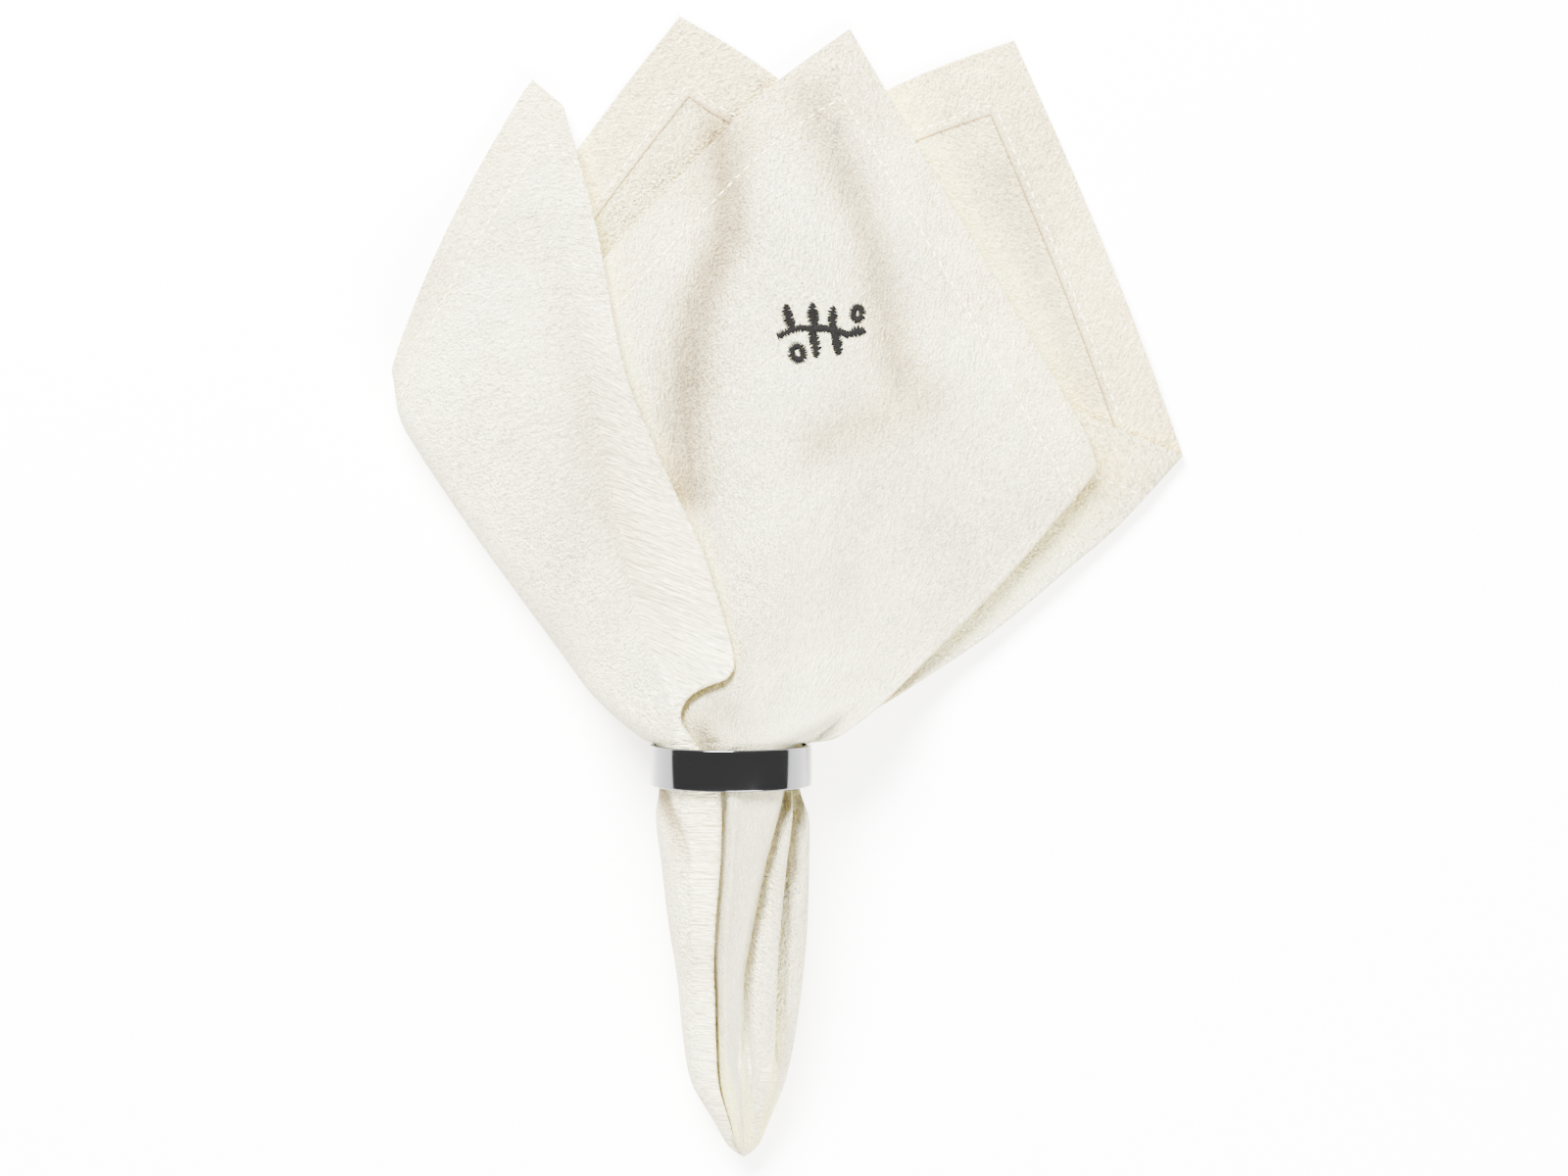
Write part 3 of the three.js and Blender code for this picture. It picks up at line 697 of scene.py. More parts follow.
# %% Fold the whole napkin
folded = [fold_row(kind, value) for kind, value in ROWS]
loops = [blunt_corner(hold_in_ring(points)) for points, _, _, _ in folded]
ease_tip(loops, folded[0][2])
SPACE = np.array(loops)
FLAT = np.array([flat for _, flat, _, _ in folded])
LAYER_OF = folded[0][2]
COLUMNS = len(LAYER_OF)
print("folded sheet:", len(ROWS), "rows by", COLUMNS, "columns, height", SPACE[..., 2].max().round(1), "mm")

# %% [markdown]
# ## Cockles, and painted shade in creases and hollows
# Cotton that has been washed never lies quite flat. A few long waves of different directions, added up
# on the flat napkin, give it shallow cockles. And where a layer disappears below another, light
# reaches it only by way of ivory cloth and turns warm. How far each place has slipped under the
# layers above it is kept as a value at each vertex; the cloth material paints a warm crease shade into
# its colour by it. How deep each place lies in the hollows of the relief is kept the same way, and the
# material paints a dark shade into its colour by that.

# %% Cockles
COCKLE = 0.16
COCKLE_WAVES = 14
COCKLE_LENGTHS = (13.0, 34.0)
COCKLE_SEED = 5


def cockles(flat):
    """Heights of the shallow waves at flat places."""
    waves = np.random.default_rng(COCKLE_SEED)
    total = np.zeros(flat.shape[:-1])
    for _ in range(COCKLE_WAVES):
        length = waves.uniform(*COCKLE_LENGTHS)
        turn, start = waves.uniform(0, math.tau, 2)
        way = np.array((math.cos(turn), math.sin(turn)))
        total += np.sin(flat @ way * math.tau / length + start) / math.sqrt(COCKLE_WAVES / 2)
    return total * COCKLE


lies_flat = smooth(6, 40, SPACE[..., 1])
SPACE[..., 2] += cockles(FLAT) * lies_flat * smooth(0, 4, SPACE[..., 2])
print("cockles up to", np.abs(cockles(FLAT)).max().round(2), "mm")

# %% Painted shade of creases and hollows
SHADOW_REACH = {0: 3.5, 4: 10.0}  # how far a layer shades the ones below it; the others shade less
OTHER_REACH = 5.0
TAIL_REACH = 1.8
# hollow depth, mm, at which the painted hollow shade is full
FULL_HOLLOW = 3.0


def covered(points, layer):
    """0 in the open, up to 1 where a place has slipped under the layers above."""
    shade = np.zeros(len(points))
    for above in range(12):
        reach = mix(TAIL_REACH, SHADOW_REACH.get(above, OTHER_REACH), smooth(8, 40, points[:, 1]))
        near = (1 - np.clip(outside(OUTLINES[above], points[:, :2]) / reach, 0, 1)) ** 2
        shade = np.maximum(shade, near * (PLACE[above] < PLACE[layer]))
    return shade


def hollowed(points, layer):
    """How deep each place lies in the hollows of the relief tables; the cloth material paints a dark shade
    into its colour by it.
    """
    total = np.zeros(len(points))
    for top, lift, _ in reliefs(points[:, :2]):
        total += np.clip(-lift / FULL_HOLLOW, 0, 1) * (PLACE[layer] >= PLACE[top])
    return np.clip(total, 0, 1)


# painted shade: COVERED mixes a warm painted crease shade into the cloth's colour, HOLLOWED a dark painted
# hollow shade
COVERED = np.array([covered(row, LAYER_OF) for row in SPACE])
HOLLOWED = np.array([hollowed(row, LAYER_OF) for row in SPACE])
print("covered share of the cloth:", (COVERED > 0.99).mean().round(2))

# %% [markdown]
# ## The napkin's mesh
# The flat start is a small disc round the pinch, a circle with a fan of triangles. Its rim is then
# extruded once for each row, and every new vertex is set down at its folded place. The flat napkin
# becomes the UV map, in metres, so that weave and hem keep their real scale round every fold. The
# sheet itself is the right side of the cloth. Solidify gives it a thickness towards the wrong side,
# and a vertex group makes it thicker where the hem is turned in.

# %% Cloth mesh
CLOTH_THICK = 0.45
HEM_THICK = 0.9


def extrude_sheet(space, flat):
    bm = bmesh.new()
    column = bm.verts.layers.int.new("column")
    row = bm.verts.layers.int.new("row")
    made = bmesh.ops.create_circle(bm, cap_ends=True, cap_tris=True, segments=COLUMNS, radius=1)
    rim = sorted((v for v in made["verts"] if v.co.length > 0.5),
                 key=lambda v: math.atan2(v.co.y, v.co.x) % math.tau)
    pole = next(v for v in made["verts"] if v.co.length < 0.5)
    pole[row] = -1
    pole.co = place(TIP)
    for n, v in enumerate(rim):
        v[column] = n
        v.co = place(space[0][n])
    edges = [e for e in bm.edges if e.is_boundary]
    for n in range(1, len(space)):
        grown = bmesh.ops.extrude_edge_only(bm, edges=edges)["geom"]
        spots = place(space[n])
        for v in (g for g in grown if isinstance(g, bmesh.types.BMVert)):
            v[row] = n
            v.co = spots[v[column]]
        edges = [g for g in grown if isinstance(g, bmesh.types.BMEdge) and g.is_boundary]
    # painted shade: the cloth material reads these two values to paint crease and hollow shade into its
    # colour
    crease_shade = bm.verts.layers.float.new("covered")
    depth = bm.verts.layers.float.new("hollowed")
    for v in bm.verts:
        v[crease_shade] = 0 if v[row] < 0 else COVERED[v[row]][v[column]]
        v[depth] = 0 if v[row] < 0 else HOLLOWED[v[row]][v[column]]
    uv = bm.loops.layers.uv.new("flat")
    for face in bm.faces:
        face.smooth = True
        for loop in face.loops:
            v = loop.vert
            spot = PINCH if v[row] < 0 else flat[v[row]][v[column]]
            loop[uv].uv = ((spot[0] + SIDE / 2) * MM, (spot[1] + SIDE / 2) * MM)
    return bm


def outer_side_out(bm):
    """Turn all faces so that the right side of the cloth, the outside of the tail, faces outwards."""
    axis = Vector(place((0, -50.0, 15.0)))
    lowest = min((f for f in bm.faces if abs(f.calc_center_median().y - axis.y) < 5 * MM),
                 key=lambda f: f.calc_center_median().z)
    if lowest.normal.z > 0:
        bmesh.ops.reverse_faces(bm, faces=bm.faces)


bm = extrude_sheet(SPACE, FLAT)
bm.normal_update()
outer_side_out(bm)
napkin_mesh = bpy.data.meshes.new("napkin_cloth")
bm.to_mesh(napkin_mesh)
row_of = [v[bm.verts.layers.int["row"]] for v in bm.verts]
bm.free()
napkin = bpy.data.objects.new("napkin_cloth", napkin_mesh)
bpy.context.collection.objects.link(napkin)
print("napkin sheet:", len(napkin_mesh.vertices), "vertices,", len(napkin_mesh.polygons), "faces")

# %% Cloth thickness
hem_start = TAIL_ROWS + FAN_ROWS  # the first row on the turned-in hem
group = napkin.vertex_groups.new(name="thickness")
turned_in = [v for v, n in enumerate(row_of) if n >= hem_start and n < len(ROWS) - 1]
group.add([v for v, n in enumerate(row_of) if n < hem_start], CLOTH_THICK / HEM_THICK, "REPLACE")
group.add(turned_in, 1.0, "REPLACE")
group.add([v for v, n in enumerate(row_of) if n == len(ROWS) - 1], 0.5, "REPLACE")
thick = napkin.modifiers.new("thickness", "SOLIDIFY")
thick.thickness = HEM_THICK * MM
thick.offset = -1
thick.vertex_group = group.name
thick.use_rim = True
thick.material_offset = 1  # the wrong side has its own material, because there the hem is turned over
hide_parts("napkin")
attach(napkin, "root")

# %% [markdown]
# ## From the flat napkin to the folded one
# Stitches and embroidery are laid out on the flat napkin. To find where a flat place has gone, the UV
# map itself is made a flat mesh and searched for the face under the place. The same corner weights in
# the folded face then give the place in space, and its edges give the directions of the weave.

# %% Finding a flat place in the folded cloth
napkin_mesh.calc_loop_triangles()
uv_data = np.zeros(len(napkin_mesh.loops) * 2)
napkin_mesh.uv_layers["flat"].data.foreach_get("uv", uv_data)
uv_data = uv_data.reshape(-1, 2) / MM - SIDE / 2
triangles = [tuple(t.loops) for t in napkin_mesh.loop_triangles]
flat_tree = BVHTree.FromPolygons([Vector((u, v, 0)) for u, v in uv_data], triangles)


def folded_place(flat):
    """Place in space (metres), outward normal, and the flat U and V directions there."""
    hit = flat_tree.find_nearest(Vector((flat[0], flat[1], 0)))
    loops_hit = triangles[hit[2]]
    a, b, c = (Vector(uv_data[n]) for n in loops_hit)
    pa, pb, pc = (napkin_mesh.vertices[napkin_mesh.loops[n].vertex_index].co for n in loops_hit)
    sides = Matrix(((b.x - a.x, c.x - a.x), (b.y - a.y, c.y - a.y)))
    weights = sides.inverted() @ (Vector((flat[0], flat[1])) - a)
    spot = pa + (pb - pa) * weights.x + (pc - pa) * weights.y
    to_u, to_v = (sides.inverted() @ Vector(d) for d in ((1, 0), (0, 1)))
    u_way = ((pb - pa) * to_u.x + (pc - pa) * to_u.y).normalized()
    v_way = ((pb - pa) * to_v.x + (pc - pa) * to_v.y).normalized()
    normal = napkin_mesh.loop_triangles[hit[2]].normal
    return spot, Vector(normal), u_way, v_way


spot, normal, _, _ = folded_place((145.0, 145.0))
print("front panel's motif is at", [round(v / MM, 1) for v in spot], "facing", [round(v, 2) for v in normal])

# %% [markdown]
# ## The hem's stitches and the embroidered twig
# The hem is held by one line of small machine stitches, ivory on ivory. They are one piece: a short
# grain of thread, copied along the line by transforms. The motif is a small leafy twig with berries
# in dark satin stitch: short threads lie side by side across each line of the drawing.

# %% Threads along a line
def add_thread(bm, flat, way, length, thick, lift):
    """One short thread, a stretched ball of a few faces, lying on the folded cloth."""
    spot, normal, u_way, v_way = folded_place(flat)
    along_way = (u_way * way[0] + v_way * way[1]).normalized()
    side_way = normal.cross(along_way).normalized()
    up = along_way.cross(side_way)
    turn = Matrix((along_way, side_way, up)).transposed().to_4x4()
    size = Matrix.Diagonal((length / 2 * MM, thick / 2 * MM, thick / 2 * MM, 1))
    spot = spot + normal * (lift * MM)
    bmesh.ops.create_icosphere(bm, subdivisions=1, radius=1, matrix=Matrix.Translation(spot) @ turn @ size)


def thread_piece(name, threads):
    bm = bmesh.new()
    for thread in threads:
        add_thread(bm, *thread)
    for face in bm.faces:
        face.smooth = True
    mesh = bpy.data.meshes.new(name)
    bm.to_mesh(mesh)
    bm.free()
    piece = bpy.data.objects.new(name, mesh)
    bpy.context.collection.objects.link(piece)
    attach(piece, "root")
    print(name, "threads:", len(threads), "faces:", len(mesh.polygons))
    return piece


# %% Hem stitches
STITCH_FROM_EDGE = 11.4
STITCH_LENGTH = 2.3
STITCH_STEP = 3.0
STITCH_THICK = 0.46
THREAD_SINK = 0.05  # how far a thread's middle stands off the cloth
dice = np.random.default_rng(7)


def hem_stitches():
    reach = SIDE / 2 - STITCH_FROM_EDGE
    count = int(2 * reach / STITCH_STEP)
    threads = []
    for quarter in range(4):
        cos, sin = (1, 0, -1, 0)[quarter], (0, 1, 0, -1)[quarter]
        for n in range(count):
            x = -reach + (n + 0.5) * STITCH_STEP
            flat = (x * cos - reach * sin, x * sin + reach * cos)
            way = (cos + sin * dice.uniform(-0.06, 0.06), sin + cos * dice.uniform(-0.06, 0.06))
            length = STITCH_LENGTH + dice.uniform(-0.15, 0.15)
            threads.append((flat, way, length, STITCH_THICK, THREAD_SINK))
            under = -(HEM_THICK - THREAD_SINK)
            threads.append((flat, way, length, STITCH_THICK, under))
    return threads


stitches = thread_piece("hem_stitches", hem_stitches())

# %% Embroidered twig
TWIG_MIDDLE = (148.8, 148.2)
TWIG_TURN = math.radians(-45)  # the twig lies square to the corner's diagonal
SATIN_WIDTH = 2.4
SATIN_STEP = 0.38
SATIN_THICK = 0.5


def arc_line(start, end, bow, count=24):
    """A bowed line from start to end; bow is its height in the middle."""
    t = np.linspace(0, 1, count)[:, None]
    start, end = np.array(start), np.array(end)
    side = np.array((start[1] - end[1], end[0] - start[0]))
    side = side / np.linalg.norm(side)
    return start + (end - start) * t + side * bow * 4 * t * (1 - t)


def leaf(base, tip, belly):
    """A solid leaf: its midline, and the width of the satin across it from end to end."""
    line = arc_line(base, tip, 0.6)
    return line, lambda t: 0.9 + belly * np.sin(math.pi * t) ** 0.7


def berry(middle, radius):
    t = np.linspace(0, math.tau, 24)[:, None]
    return np.array(middle) + radius * np.hstack((np.cos(t), np.sin(t))), None


TWIG = [(arc_line((-11.5, -2.6), (9.0, 1.2), 2.4, 40), None)]
TWIG += [leaf((-7.4, -0.2), (-9.8, 5.2), 2.9), leaf((-3.4, 1.0), (-0.6, -5.0), 2.9)]
TWIG += [leaf((-1.6, 1.6), (-3.2, 7.4), 2.9), leaf((3.4, 1.8), (6.6, -3.8), 2.7)]
TWIG += [leaf((4.2, 2.0), (3.4, 7.4), 2.6), leaf((9.0, 1.2), (14.2, 2.6), 2.6)]
TWIG += [berry((-6.0, -5.2), 1.7), berry((11.0, 6.6), 1.6)]


def satin(line, width):
    """Short threads side by side across a line, laid on the flat napkin."""
    steps = np.linalg.norm(np.diff(line, axis=0), axis=1)
    stops = np.concatenate(([0], np.cumsum(steps)))
    spots = np.arange(SATIN_STEP / 2, stops[-1], SATIN_STEP)
    x, y = (np.interp(spots, stops, line[:, axis]) for axis in (0, 1))
    way = np.stack((np.gradient(x), np.gradient(y)), -1)
    way = way / np.linalg.norm(way, axis=1)[:, None]
    widths = width(spots / stops[-1]) if width else np.full(len(spots), SATIN_WIDTH)
    cos, sin = math.cos(TWIG_TURN), math.sin(TWIG_TURN)
    threads = []
    for n in range(len(spots)):
        flat = (TWIG_MIDDLE[0] + x[n] * cos - y[n] * sin, TWIG_MIDDLE[1] + x[n] * sin + y[n] * cos)
        slant = dice.uniform(-0.18, 0.18)
        cross = (-way[n][1] + slant * way[n][0], way[n][0] + slant * way[n][1])
        across = (cross[0] * cos - cross[1] * sin, cross[0] * sin + cross[1] * cos)
        length = widths[n] + dice.uniform(-0.2, 0.4)
        threads.append((flat, across, length, SATIN_THICK, 0.12))
    return threads


twig = thread_piece("embroidered_twig", [t for line, width in TWIG for t in satin(line, width)])

# %% [markdown]
# ## Ivory crinkled cotton
# The real cloth is a light cotton with a crinkled, crepe-like face: small puckers about a millimetre
# wide and two or three long, over a plain weave. It has no gloss. Light goes a little way into it, and
# in the creases, where it comes through one layer to the next, it turns warm; the material also paints
# that warm crease shade into the colour, paints a dark shade into the relief's hollows, and paints a
# thin shadow along the step of the turned-in hem. The puckers and grain darken the colour as painted
# shade, mixed with tone that differs at random. The wrong side, seen on the back corners, is a little
# warmer than the right side, and so is the double hem. All patterns are measured on the flat UV map,
# so they follow the cloth round its folds.

# %% Node helpers
def new_material(name):
    material = bpy.data.materials.new(name)
    material.use_nodes = True
    nodes = material.node_tree.nodes
    nodes.clear()
    out = nodes.new("ShaderNodeOutputMaterial")
    shader = nodes.new("ShaderNodeBsdfPrincipled")
    material.node_tree.links.new(shader.outputs["BSDF"], out.inputs["Surface"])
    return material, nodes, material.node_tree.links, shader


def math_node(nodes, links, operation, first, second=None, clamp=False):
    node = nodes.new("ShaderNodeMath")
    node.operation = operation
    node.use_clamp = clamp
    for socket, value in zip(node.inputs, (first, second)):
        if value is None:
            continue
        if isinstance(value, (int, float)):
            socket.default_value = value
        else:
            links.new(value, socket)
    return node.outputs[0]


def noise_node(nodes, links, vector, scale, detail, stretch=(1, 1, 1), rough=0.5, bend=0.0):
    mapping = nodes.new("ShaderNodeMapping")
    mapping.inputs["Scale"].default_value = stretch
    links.new(vector, mapping.inputs["Vector"])
    noise = nodes.new("ShaderNodeTexNoise")
    noise.inputs["Scale"].default_value = scale
    noise.inputs["Detail"].default_value = detail
    noise.inputs["Roughness"].default_value = rough
    noise.inputs["Distortion"].default_value = bend
    links.new(mapping.outputs["Vector"], noise.inputs["Vector"])
    return noise.outputs["Fac"]


# %% Cotton pattern, shared by the right and the wrong side
COTTON = (0.94, 0.835, 0.52, 1)
COTTON_HEM = (0.87, 0.74, 0.41, 1)
# painted shade: the warmer colour mixed in where the cloth lies under other layers
PAINTED_CREASE_SHADE = (0.98, 0.79, 0.32, 1)
# painted shade: the colour is multiplied by this in the hollows of the relief
PAINTED_HOLLOW_SHADE = (0.36, 0.31, 0.23, 1)
# painted shadow: dark line along the turned-in hem's step on the wrong side
PAINTED_HEM_SHADOW = (0.32, 0.20, 0.05, 1)
HEM_TINT = 0.35  # share of the wrong side's warmer colour that the right side of the hem has
PUCKER_SCALE = 1350  # puckers in a metre, counted across them
PUCKER_STRETCH = 0.4
GRAIN_SCALE = 1500
COCKLE_SCALE = 210
WEAVE_SCALE = 3800  # threads in a metre of cloth
STRENGTH_SCALE = 45  # patches of stronger and weaker crinkle
TONE_SCALE = 24  # patches of paler and darker cloth
COCKLE_HEIGHT, GRAIN_HEIGHT, WEAVE_HEIGHT = 0.9, 0.7, 0.035  # beside puckers of height 1
HEM_SHADOW_WIDTH = (0.12 * MM, 0.34 * MM)  # half width of the painted shadow line at the hem's inner edge, dark and faded
HEM_SHADOW_STRENGTH = 0.85
DEPTH_SHARES = (0.4, 0.3, 0.3)  # of puckers, grain and tone
SHADE_FROM, SHADE = (0.38, 0.60), (0.52, 1.26)  # depth of the crinkle with random tone, and how much it darkens the colour: painted crinkle shade


def mix_colors(nodes, links, factor, first, second, blend="MIX"):
    node = nodes.new("ShaderNodeMix")
    node.data_type = "RGBA"
    node.blend_type = blend
    for name, value in (("Factor", factor), ("A", first), ("B", second)):
        socket = next(i for i in node.inputs if i.enabled and i.name == name)
        if isinstance(value, bpy.types.NodeSocket):
            links.new(value, socket)
        else:
            socket.default_value = value
    return next(socket for socket in node.outputs if socket.enabled)


def map_range(nodes, links, value, from_min, from_max, to_min, to_max):
    node = nodes.new("ShaderNodeMapRange")
    sockets = ("From Min", "From Max", "To Min", "To Max")
    for name, number in zip(sockets, (from_min, from_max, to_min, to_max)):
        node.inputs[name].default_value = number
    links.new(value, node.inputs["Value"])
    return node.outputs["Result"]


def cotton_pattern_group():
    group = bpy.data.node_groups.new("crinkled_cotton", "ShaderNodeTree")
    group.interface.new_socket("Flat", in_out="INPUT", socket_type="NodeSocketVector")
    group.interface.new_socket("Covered", in_out="INPUT", socket_type="NodeSocketFloat")
    group.interface.new_socket("Hollowed", in_out="INPUT", socket_type="NodeSocketFloat")
    group.interface.new_socket("Hem Turned Over", in_out="INPUT", socket_type="NodeSocketFloat")
    group.interface.new_socket("Color", in_out="OUTPUT", socket_type="NodeSocketColor")
    group.interface.new_socket("Height", in_out="OUTPUT", socket_type="NodeSocketFloat")
    nodes, links = group.nodes, group.links
    source, result = nodes.new("NodeGroupInput"), nodes.new("NodeGroupOutput")
    flat = source.outputs["Flat"]
    split = nodes.new("ShaderNodeSeparateXYZ")
    links.new(flat, split.inputs["Vector"])
    u, v = split.outputs["X"], split.outputs["Y"]

    # distance from the nearest edge of the napkin, and the hem as a mask
    gaps = [math_node(nodes, links, "MINIMUM", w, math_node(nodes, links, "SUBTRACT", SIDE * MM, w))
            for w in (u, v)]
    gap = math_node(nodes, links, "MINIMUM", *gaps)
    hem = map_range(nodes, links, gap, (HEM + 0.3) * MM, (HEM - 0.3) * MM, 0, 1)

    # the turned-over hem shows the cloth mirrored, so its puckers run the other way
    over = math_node(nodes, links, "MULTIPLY", hem, source.outputs["Hem Turned Over"])
    mirror = math_node(nodes, links, "MULTIPLY_ADD", over, -2.0)
    mirror.node.inputs[2].default_value = 1.0
    turned = nodes.new("ShaderNodeCombineXYZ")
    links.new(math_node(nodes, links, "MULTIPLY", u, mirror), turned.inputs["X"])
    links.new(v, turned.inputs["Y"])
    rotate = nodes.new("ShaderNodeMapping")
    rotate.inputs["Rotation"].default_value = (0, 0, math.radians(-45))
    links.new(turned.outputs["Vector"], rotate.inputs["Vector"])
    bias = rotate.outputs["Vector"]

    puckers = noise_node(nodes, links, bias, PUCKER_SCALE, 2.0, (PUCKER_STRETCH, 1, 1), 0.55, 0.7)
    grain = noise_node(nodes, links, flat, GRAIN_SCALE, 1.0)
    cockle = noise_node(nodes, links, bias, COCKLE_SCALE, 2.0, (0.5, 1, 1), 0.5)
    strength = noise_node(nodes, links, flat, STRENGTH_SCALE, 1.0)
    tone = noise_node(nodes, links, flat, TONE_SCALE, 3.0, rough=0.6)
    turns = [math_node(nodes, links, "MULTIPLY", w, WEAVE_SCALE * math.pi) for w in (u, v)]
    threads = [math_node(nodes, links, "SINE", turn) for turn in turns]
    weave = math_node(nodes, links, "MULTIPLY", *threads)

    relief = math_node(nodes, links, "MULTIPLY", puckers,
                       map_range(nodes, links, strength, 0.35, 0.65, 0.65, 1.25))
    for pattern, height in ((cockle, COCKLE_HEIGHT), (weave, WEAVE_HEIGHT), (grain, GRAIN_HEIGHT)):
        raised = math_node(nodes, links, "MULTIPLY", pattern, height)
        relief = math_node(nodes, links, "ADD", relief, raised)
    links.new(relief, result.inputs["Height"])

    lined = math_node(nodes, links, "MAXIMUM", source.outputs["Hem Turned Over"],
                      math_node(nodes, links, "MULTIPLY", hem, HEM_TINT))
    color = mix_colors(nodes, links, lined, COTTON, COTTON_HEM)
    # painted shadow: a thin dark line on the wrong side where the hem's step would shade the cloth
    from_step = math_node(nodes, links, "ABSOLUTE",
                          math_node(nodes, links, "SUBTRACT", gap, (HEM + HEM_STEP / 2) * MM))
    step = map_range(nodes, links, from_step, *HEM_SHADOW_WIDTH, HEM_SHADOW_STRENGTH, 0)
    step = math_node(nodes, links, "MULTIPLY", step, source.outputs["Hem Turned Over"])
    # painted shade: the warm crease colour is mixed in where the cloth has slipped under other layers
    color = mix_colors(nodes, links, source.outputs["Covered"], color, PAINTED_CREASE_SHADE)
    color = mix_colors(nodes, links, step, color, PAINTED_HEM_SHADOW)
    # painted shade of the puckers and grain, mixed with tone that differs at random: all darken the colour
    parts = [math_node(nodes, links, "MULTIPLY", pattern, share)
             for pattern, share in zip((puckers, grain, tone), DEPTH_SHARES)]
    depth = math_node(nodes, links, "ADD", math_node(nodes, links, "ADD", *parts[:2]), parts[2])
    shade = map_range(nodes, links, depth, *SHADE_FROM, *SHADE)
    color = mix_colors(nodes, links, 1.0, color, shade, "MULTIPLY")
    # painted shade: the colour darkens with the depth of the relief's hollows
    color = mix_colors(nodes, links, source.outputs["Hollowed"], color, PAINTED_HOLLOW_SHADE, "MULTIPLY")
    links.new(color, result.inputs["Color"])
    return group


# %% Cloth materials
COTTON_PATTERN = cotton_pattern_group()
COTTON_BUMP = 7.5
OPEN_GLOW, CREASE_GLOW = 0.22, 0.75  # share of the light that goes into the cloth


def ivory_cotton(name, turned_over):
    material, nodes, links, shader = new_material(name)
    flat = nodes.new("ShaderNodeUVMap")
    flat.uv_map = "flat"
    pattern = nodes.new("ShaderNodeGroup")
    pattern.node_tree = COTTON_PATTERN
    pattern.inputs["Hem Turned Over"].default_value = turned_over
    links.new(flat.outputs["UV"], pattern.inputs["Flat"])
    for name in ("Hollowed", "Covered"):
        value = nodes.new("ShaderNodeAttribute")
        value.attribute_name = name.lower()
        links.new(value.outputs["Fac"], pattern.inputs[name])
    links.new(pattern.outputs["Color"], shader.inputs["Base Color"])
    bump = nodes.new("ShaderNodeBump")
    bump.inputs["Strength"].default_value = 1.0
    bump.inputs["Distance"].default_value = COTTON_BUMP * MM
    links.new(pattern.outputs["Height"], bump.inputs["Height"])
    links.new(bump.outputs["Normal"], shader.inputs["Normal"])
    shader.inputs["Roughness"].default_value = 0.9
    shader.inputs["Sheen Weight"].default_value = 0.1
    shader.inputs["Sheen Roughness"].default_value = 0.5
    shader.inputs["Specular IOR Level"].default_value = 0.2
    glow = map_range(nodes, links, value.outputs["Fac"], 0, 1, OPEN_GLOW, CREASE_GLOW)
    links.new(glow, shader.inputs["Subsurface Weight"])
    shader.inputs["Subsurface Radius"].default_value = (1.0, 0.8, 0.45)
    shader.inputs["Subsurface Scale"].default_value = 1.8 * MM
    return material


napkin_mesh.materials.append(ivory_cotton("ivory_cotton", 0))
napkin_mesh.materials.append(ivory_cotton("ivory_cotton_wrong_side", 1))

# %% [markdown]
# ## Threads
# Both threads are spun from fine fibres, whose pattern is one node group that both materials use, with
# their own colours. The ivory machine thread is hardly lighter than the cloth. The dark embroidery
# thread is matt, and shows each satin stitch by its shape.

# %% Thread materials
def thread_fibres_group():
    group = bpy.data.node_groups.new("thread_fibres", "ShaderNodeTree")
    group.interface.new_socket("Vector", in_out="INPUT", socket_type="NodeSocketVector")
    group.interface.new_socket("Dark", in_out="INPUT", socket_type="NodeSocketColor")
    group.interface.new_socket("Light", in_out="INPUT", socket_type="NodeSocketColor")
    group.interface.new_socket("Color", in_out="OUTPUT", socket_type="NodeSocketColor")
    group.interface.new_socket("Height", in_out="OUTPUT", socket_type="NodeSocketFloat")
    nodes, links = group.nodes, group.links
    source, result = nodes.new("NodeGroupInput"), nodes.new("NodeGroupOutput")
    fibres = noise_node(nodes, links, source.outputs["Vector"], 3800, 2.0)
    tint = nodes.new("ShaderNodeMix")
    tint.data_type = "RGBA"
    links.new(fibres, tint.inputs["Factor"])
    links.new(source.outputs["Dark"], tint.inputs["A"])
    links.new(source.outputs["Light"], tint.inputs["B"])
    links.new(tint.outputs["Result"], result.inputs["Color"])
    links.new(fibres, result.inputs["Height"])
    return group


THREAD_FIBRES = thread_fibres_group()


def thread_material(name, dark, light, rough, sheen):
    material, nodes, links, shader = new_material(name)
    where = nodes.new("ShaderNodeTexCoord")
    spun = nodes.new("ShaderNodeGroup")
    spun.node_tree = THREAD_FIBRES
    spun.inputs["Dark"].default_value = dark
    spun.inputs["Light"].default_value = light
    links.new(where.outputs["Object"], spun.inputs["Vector"])
    links.new(spun.outputs["Color"], shader.inputs["Base Color"])
    bump = nodes.new("ShaderNodeBump")
    bump.inputs["Distance"].default_value = 0.05 * MM
    links.new(spun.outputs["Height"], bump.inputs["Height"])
    links.new(bump.outputs["Normal"], shader.inputs["Normal"])
    shader.inputs["Roughness"].default_value = rough
    shader.inputs["Sheen Weight"].default_value = sheen
    shader.inputs["Specular IOR Level"].default_value = 0.07
    return material


IVORY_FIBRES = ((0.80, 0.72, 0.50, 1), (0.90, 0.82, 0.60, 1))
DARK_FIBRES = ((0.0012, 0.0011, 0.001, 1), (0.005, 0.0046, 0.0042, 1))
ivory_thread = thread_material("ivory_thread", *IVORY_FIBRES, rough=0.7, sheen=0.1)
dark_thread = thread_material("dark_thread", *DARK_FIBRES, rough=0.8, sheen=0.0)
stitches.data.materials.append(ivory_thread)
twig.data.materials.append(dark_thread)

